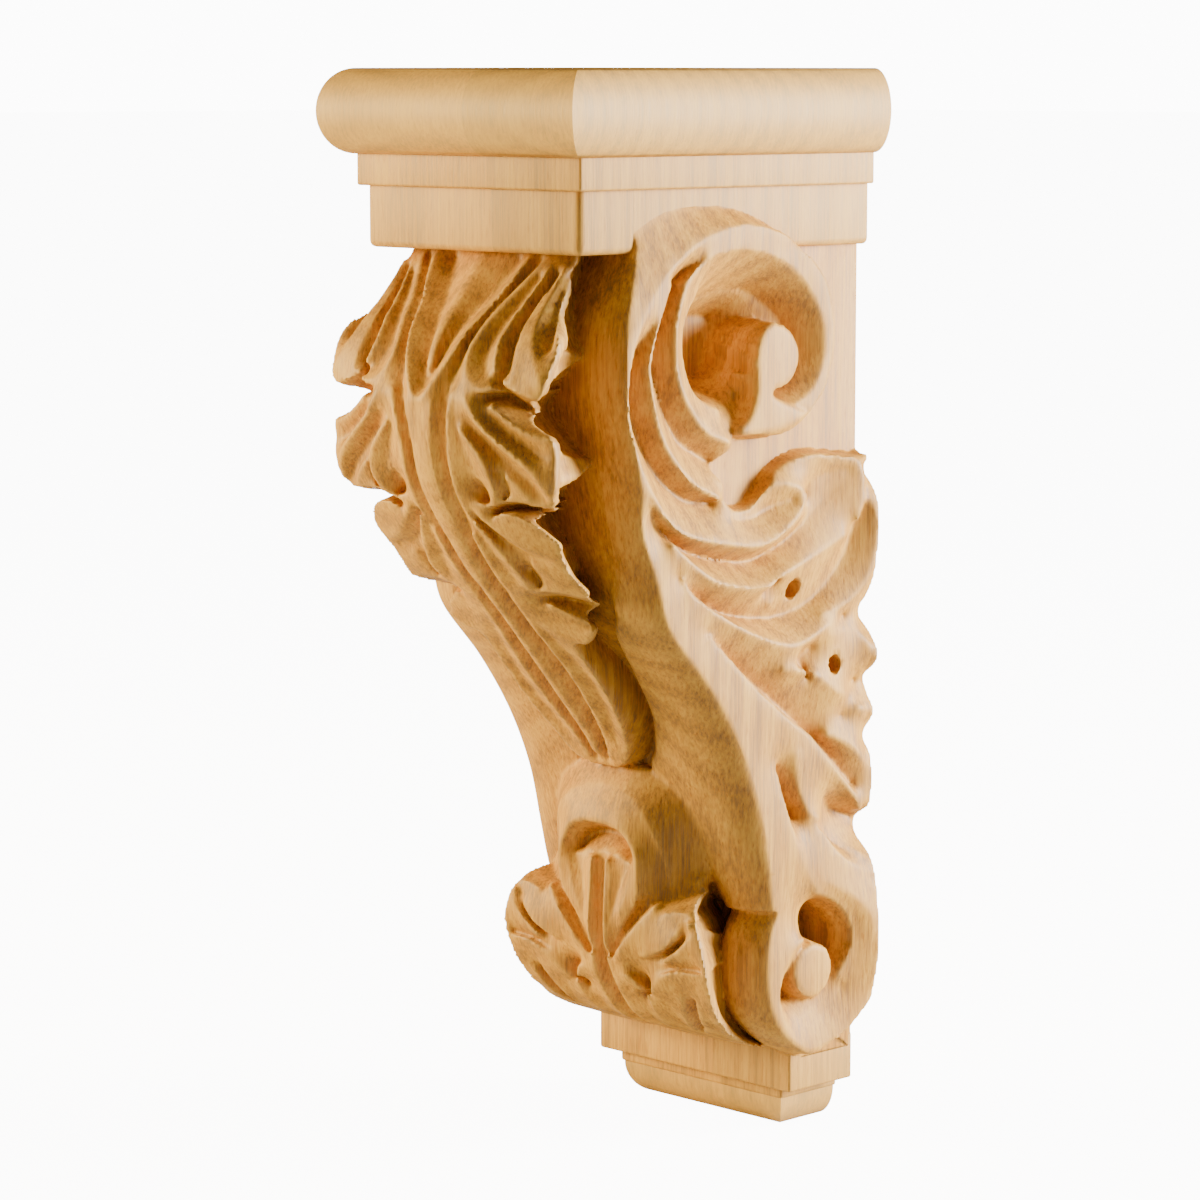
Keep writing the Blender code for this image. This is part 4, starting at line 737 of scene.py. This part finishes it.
def block(name, half_width, depth, bottom, top, edge):
    """A straight block with softened edges whose back lies in the wall plane."""
    mesh = bpy.data.meshes.new(name)
    shape = bmesh.new()
    bmesh.ops.create_cube(shape, size=1)
    bmesh.ops.scale(shape, vec=(2 * half_width, depth, top - bottom), verts=shape.verts)
    bmesh.ops.translate(shape, vec=(0, -depth / 2, (bottom + top) / 2), verts=shape.verts)
    softened = [e for e in shape.edges if min(vertex.co.y for vertex in e.verts) < -depth / 2]
    bmesh.ops.bevel(shape, geom=softened, offset=edge, segments=EDGE_STEPS, profile=0.5, affect="EDGES")
    shape.to_mesh(mesh)
    shape.free()
    return new_piece(name, mesh)


def moulding(name, rings):
    """A mitred moulding: each ring is (height, half width, depth from the wall)."""
    mesh = bpy.data.meshes.new(name)
    shape = bmesh.new()
    loops = []
    for height, half_width, depth in rings:
        corners = ((-half_width, 0), (half_width, 0), (half_width, -depth), (-half_width, -depth))
        loops.append([shape.verts.new((x, y, height)) for x, y in corners])
    for below, above in zip(loops, loops[1:]):
        for i in range(4):
            shape.faces.new((below[i], below[i - 3], above[i - 3], above[i]))
    shape.faces.new(loops[-1])
    shape.faces.new(loops[0])
    bmesh.ops.recalc_face_normals(shape, faces=shape.faces)
    shape.to_mesh(mesh)
    shape.free()
    return new_piece(name, mesh)


def new_piece(name, mesh):
    piece = bpy.data.objects.new(name, mesh)
    bpy.context.scene.collection.objects.link(piece)
    mesh.polygons.foreach_set("use_smooth", [True] * len(mesh.polygons))
    mesh.set_sharp_from_angle(angle=math.radians(SHARP_ANGLE))
    return piece


def cap():
    """The bullnose, the fillet below it, and the frieze that the carving hangs from."""
    bottom = TOP - BULLNOSE_HEIGHT
    rings = []
    for angle in np.linspace(0, math.pi, BULLNOSE_STEPS + 1):
        height = bottom + BULLNOSE_HEIGHT * (1 - math.cos(angle)) / 2
        bulge = math.sin(angle)
        half_width = FILLET_HALF_WIDTH + BULLNOSE_SIDE_BULGE * bulge
        rings.append((height, half_width, FILLET_DEPTH + BULLNOSE_FRONT_BULGE * bulge))
    fillet_bottom = bottom - FILLET_HEIGHT
    fillet_top = bottom + JOINT_OVERLAP
    frieze_top = fillet_bottom + JOINT_OVERLAP
    return [
        moulding("bullnose", rings),
        block("fillet", FILLET_HALF_WIDTH, FILLET_DEPTH, fillet_bottom, fillet_top, FILLET_EDGE),
        block("frieze", FRIEZE_HALF_WIDTH, FRIEZE_DEPTH, FRIEZE_BOTTOM, frieze_top, FRIEZE_EDGE),
    ]


def foot():
    """The foot block, a narrow step, and the hollow moulding under it."""
    block_bottom = BOTTOM + FOOT_HOLLOW_HEIGHT + FOOT_STEP_HEIGHT
    step_half_width = FOOT_HALF_WIDTH - FOOT_STEP_INSET
    step_depth = FOOT_DEPTH - FOOT_STEP_INSET / 2
    rings = []
    for angle in np.linspace(0, math.pi / 2, FOOT_HOLLOW_STEPS + 1):
        inset = FOOT_EDGE + FOOT_HOLLOW_INSET * (1 - math.sin(angle))
        height = BOTTOM + FOOT_HOLLOW_HEIGHT * (1 - math.cos(angle))
        rings.append((height, step_half_width - inset, step_depth - inset))
    rings.append((block_bottom + FOOT_EDGE, step_half_width - FOOT_EDGE, step_depth - FOOT_EDGE))
    step_bottom = BOTTOM + FOOT_HOLLOW_HEIGHT
    step_top = block_bottom + JOINT_OVERLAP
    block_top = FOOT_TOP + JOINT_OVERLAP
    return [
        moulding("foot_hollow", rings),
        block("foot_step", step_half_width, step_depth, step_bottom, step_top, FOOT_EDGE),
        block("foot_block", FOOT_HALF_WIDTH, FOOT_DEPTH, block_bottom, block_top, FOOT_EDGE),
    ]


class Nodes:
    """Short calls for building a material's node tree."""

    def __init__(self, name):
        self.material = bpy.data.materials.new(name)
        self.material.use_nodes = True
        self.tree = self.material.node_tree
        self.shader = self.tree.nodes["Principled BSDF"]

    def add(self, kind, **inputs):
        node = self.tree.nodes.new(kind)
        for name, value in inputs.items():
            socket = node.inputs[name.replace("_", " ")]
            if isinstance(value, bpy.types.NodeSocket):
                self.tree.links.new(value, socket)
            else:
                socket.default_value = value
        return node

    def math(self, operation, first, second=0.0, clamp=False):
        node = self.tree.nodes.new("ShaderNodeMath")
        node.operation = operation
        node.use_clamp = clamp
        for socket, value in zip(node.inputs, (first, second)):
            if isinstance(value, bpy.types.NodeSocket):
                self.tree.links.new(value, socket)
            else:
                socket.default_value = value
        return node.outputs[0]

    def stretched(self, scale, source):
        """The coordinates, closer together along some axes."""
        node = self.tree.nodes.new("ShaderNodeVectorMath")
        node.operation = "MULTIPLY"
        self.tree.links.new(source, node.inputs[0])
        node.inputs[1].default_value = scale
        return node.outputs[0]

    def pattern(self, place, kind):
        """A noise that is drawn out along the grain, from (drawn out, scale, detail, roughness)."""
        drawn_out, scale, detail, roughness = kind
        along = self.stretched((1, 1, drawn_out), place)
        node = self.add("ShaderNodeTexNoise", Vector=along, Scale=scale, Detail=detail,
                        Roughness=roughness)
        return node.outputs["Fac"]

    def ramp(self, factor, stops):
        node = self.tree.nodes.new("ShaderNodeValToRGB")
        self.tree.links.new(factor, node.inputs[0])
        ramp = node.color_ramp
        stops = list(stops)
        while len(ramp.elements) < len(stops):
            ramp.elements.new(0.5)
        for element, (position, colour) in zip(ramp.elements, stops):
            element.position = position
            element.color = (*colour, 1)
        return node.outputs[0]

    def mix(self, blend, factor, first, second):
        node = self.tree.nodes.new("ShaderNodeMix")
        node.data_type = "RGBA"
        node.blend_type = blend
        wanted = {MIX_FACTOR: factor, MIX_FIRST: first, MIX_SECOND: second}
        for number, value in wanted.items():
            if isinstance(value, bpy.types.NodeSocket):
                self.tree.links.new(value, node.inputs[number])
            elif isinstance(value, tuple):
                node.inputs[number].default_value = (*value, 1)
            else:
                node.inputs[number].default_value = value
        return node.outputs[MIX_RESULT]


def growth_rings(nodes, place):
    """Wide, wavering growth rings, drawn out along the grain."""
    shifted = nodes.tree.nodes.new("ShaderNodeVectorMath")
    shifted.operation = "ADD"
    nodes.tree.links.new(nodes.stretched((1, 1, RINGS_DRAWN_OUT), place), shifted.inputs[0])
    drift = nodes.math("MULTIPLY", nodes.pattern(place, DRIFT), RINGS_DRIFT)
    shift = nodes.add("ShaderNodeCombineXYZ", X=drift, Y=0.0, Z=0.0)
    nodes.tree.links.new(shift.outputs[0], shifted.inputs[1])
    rings = nodes.add("ShaderNodeTexWave", Vector=shifted.outputs[0], Scale=RINGS_SCALE,
                      **RINGS_WAVER)
    rings.wave_type = "RINGS"
    rings.rings_direction = "Z"
    return rings.outputs["Fac"]


def board_grey(nodes, place):
    """One grey for each glued stave."""
    parts = nodes.add("ShaderNodeSeparateXYZ", Vector=place)
    across = nodes.math("ADD", parts.outputs["X"], BOARD_START)
    board = nodes.math("FLOOR", nodes.math("MULTIPLY", across, 1 / BOARD_WIDTH))
    board_place = nodes.add("ShaderNodeCombineXYZ", X=board).outputs[0]
    board_random = nodes.add("ShaderNodeTexWhiteNoise", Vector=board_place)
    tone = nodes.math("MULTIPLY", board_random.outputs["Value"], BOARD_SPREAD)
    tone = nodes.math("ADD", tone, BOARD_DARKEST)
    return nodes.add("ShaderNodeCombineXYZ", X=tone, Y=tone, Z=tone).outputs[0]


def painted_shade_and_pale_edges(nodes, colour):
    """The colour, with painted shade darkening its hollows, and paler along edges as wear and as a
    painted highlight.
    """
    # Painted shade: ambient occlusion darkens the colour in hollows and creases, where shade falls.
    hollow = nodes.add("ShaderNodeAmbientOcclusion", Distance=PAINTED_SHADE_REACH)
    hollow.samples = PAINTED_SHADE_SAMPLES
    depth = nodes.ramp(hollow.outputs["AO"], zip(PAINTED_SHADE_STOPS, (PAINTED_SHADE_TINT, (1, 1, 1))))
    colour = nodes.mix("MULTIPLY", PAINTED_SHADE_STRENGTH, colour, depth)
    # Sharp edges are made paler by pointiness, partly as wear and partly as a painted highlight.
    sharpness = nodes.add("ShaderNodeNewGeometry").outputs["Pointiness"]
    edge = nodes.ramp(sharpness, zip(EDGE_WEAR_AND_HIGHLIGHT_STOPS, ((0, 0, 0), (1, 1, 1))))
    edge = nodes.add("ShaderNodeSeparateColor", Color=edge).outputs[0]
    return nodes.mix("MIX", nodes.math("MULTIPLY", edge, EDGE_WEAR_AND_HIGHLIGHT_STRENGTH), colour, EDGE_WEAR_AND_HIGHLIGHT)


def pale_wood():
    """Pale, lightly sanded hardwood: glued boards, growth rings, fine streaks, painted shade in hollows,
    and edges paler from wear and from a painted highlight.
    """
    nodes = Nodes("pale_hardwood")
    place = nodes.add("ShaderNodeTexCoord").outputs["Object"]
    streaks = nodes.pattern(place, STREAKS)
    fibres = nodes.pattern(place, FIBRES)

    tone = nodes.math("MULTIPLY", growth_rings(nodes, place), RINGS_SHARE)
    tone = nodes.math("ADD", tone, nodes.math("MULTIPLY", streaks, STREAKS_SHARE))
    blotches = nodes.math("MULTIPLY", nodes.pattern(place, BLOTCHES), BLOTCHES_SHARE)
    tone = nodes.math("ADD", tone, blotches)
    tone = nodes.math("ADD", tone, nodes.math("MULTIPLY", fibres, FIBRES_SHARE), clamp=True)
    colour = nodes.ramp(tone, zip(TONE_STOPS, (DARK_WOOD, MIDDLE_WOOD, LIGHT_WOOD)))
    colour = nodes.mix("MULTIPLY", 1.0, colour, board_grey(nodes, place))
    flecks = nodes.ramp(nodes.pattern(place, FLECKS), zip(FLECK_STOPS, ((1, 1, 1), FLECK_TINT)))
    colour = nodes.mix("MULTIPLY", FLECK_STRENGTH, colour, flecks)
    # The wood colour gets painted shade in its hollows, and paler edges that are partly wear and partly
    # a painted highlight.
    nodes.tree.links.new(painted_shade_and_pale_edges(nodes, colour), nodes.shader.inputs["Base Color"])

    rough = nodes.math("ADD", nodes.math("MULTIPLY", streaks, ROUGHNESS_SPREAD), SMOOTHEST)
    nodes.tree.links.new(rough, nodes.shader.inputs["Roughness"])
    height = nodes.math("MULTIPLY", streaks, BUMP_STREAKS)
    height = nodes.math("ADD", height, nodes.math("MULTIPLY", fibres, BUMP_FIBRES))
    bump = nodes.add("ShaderNodeBump", Height=height, Strength=BUMP_STRENGTH, Distance=BUMP_HEIGHT)
    nodes.tree.links.new(bump.outputs["Normal"], nodes.shader.inputs["Normal"])
    nodes.shader.inputs["Specular IOR Level"].default_value = SHINE
    return nodes.material


def floor_material():
    nodes = Nodes("floor")
    nodes.shader.inputs["Base Color"].default_value = (*FLOOR_COLOUR, 1)
    nodes.shader.inputs["Roughness"].default_value = FLOOR_ROUGHNESS
    nodes.shader.inputs["Emission Color"].default_value = (1, 1, 1, 1)
    seen = nodes.add("ShaderNodeLightPath").outputs["Is Camera Ray"]
    glow = nodes.math("MULTIPLY", seen, FLOOR_GLOW)
    nodes.tree.links.new(glow, nodes.shader.inputs["Emission Strength"])
    return nodes.material


def floor():
    """A plain pale floor under the part."""
    mesh = bpy.data.meshes.new("floor")
    shape = bmesh.new()
    bmesh.ops.create_grid(shape, x_segments=1, y_segments=1, size=FLOOR_HALF)
    bmesh.ops.translate(shape, vec=(0, 0, BOTTOM - FLOOR_GAP), verts=shape.verts)
    shape.to_mesh(mesh)
    shape.free()
    made = bpy.data.objects.new("floor", mesh)
    bpy.context.scene.collection.objects.link(made)
    made.data.materials.append(floor_material())


def camera():
    data = bpy.data.cameras.new("camera")
    data.lens = CAMERA_LENS
    data.sensor_width = CAMERA_SENSOR
    data.clip_end = CAMERA_REACH
    made = bpy.data.objects.new("camera", data)
    made.location = CAMERA_PLACE
    made.rotation_euler = [math.radians(angle) for angle in CAMERA_TURN]
    bpy.context.scene.collection.objects.link(made)
    bpy.context.scene.camera = made


def light(name, place, size, power, colour):
    data = bpy.data.lights.new(name, "AREA")
    data.shape = "RECTANGLE"
    data.size, data.size_y = size
    data.energy = power
    data.color = colour
    made = bpy.data.objects.new(name, data)
    made.location = place
    toward = Vector(LIGHT_TARGET) - Vector(place)
    made.rotation_euler = toward.to_track_quat("-Z", "Y").to_euler()
    bpy.context.scene.collection.objects.link(made)


def studio():
    """The lights, and a world that fills in the shadows but looks white to the camera."""
    world = bpy.data.worlds.new("studio")
    world.use_nodes = True
    tree = world.node_tree
    background = tree.nodes["Background"]
    rays = tree.nodes.new("ShaderNodeLightPath")
    seen = tree.nodes.new("ShaderNodeMix")
    seen.data_type = "RGBA"
    fill = [FILL_LIGHT * share for share in FILL_COLOUR]
    seen.inputs[MIX_FIRST].default_value = (*fill, 1)
    seen.inputs[MIX_SECOND].default_value = (SEEN_BACKGROUND, SEEN_BACKGROUND, SEEN_BACKGROUND, 1)
    tree.links.new(rays.outputs["Is Camera Ray"], seen.inputs[MIX_FACTOR])
    tree.links.new(seen.outputs[MIX_RESULT], background.inputs["Color"])
    bpy.context.scene.world = world
    for settings in LIGHTS:
        light(*settings)


camera()
studio()
floor()
wood = pale_wood()

body = new_piece("carved_body", carved_body(VOXEL * MM))
triangles = sum(len(face.vertices) - 2 for face in body.data.polygons)
if triangles > CARVING_FACES:
    thinned = body.modifiers.new("thinned", "DECIMATE")
    thinned.ratio = CARVING_FACES / triangles
for order, piece in enumerate([body] + cap() + foot()):
    # Each piece ends a hair further from the wall than the last, so that no two backs share a plane.
    for vertex in piece.data.vertices:
        if vertex.co.y > -BACK_STEP:
            vertex.co.y = -BACK_STEP * order
    piece.data.materials.append(wood)
    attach(piece, "root")
    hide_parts("corbel")
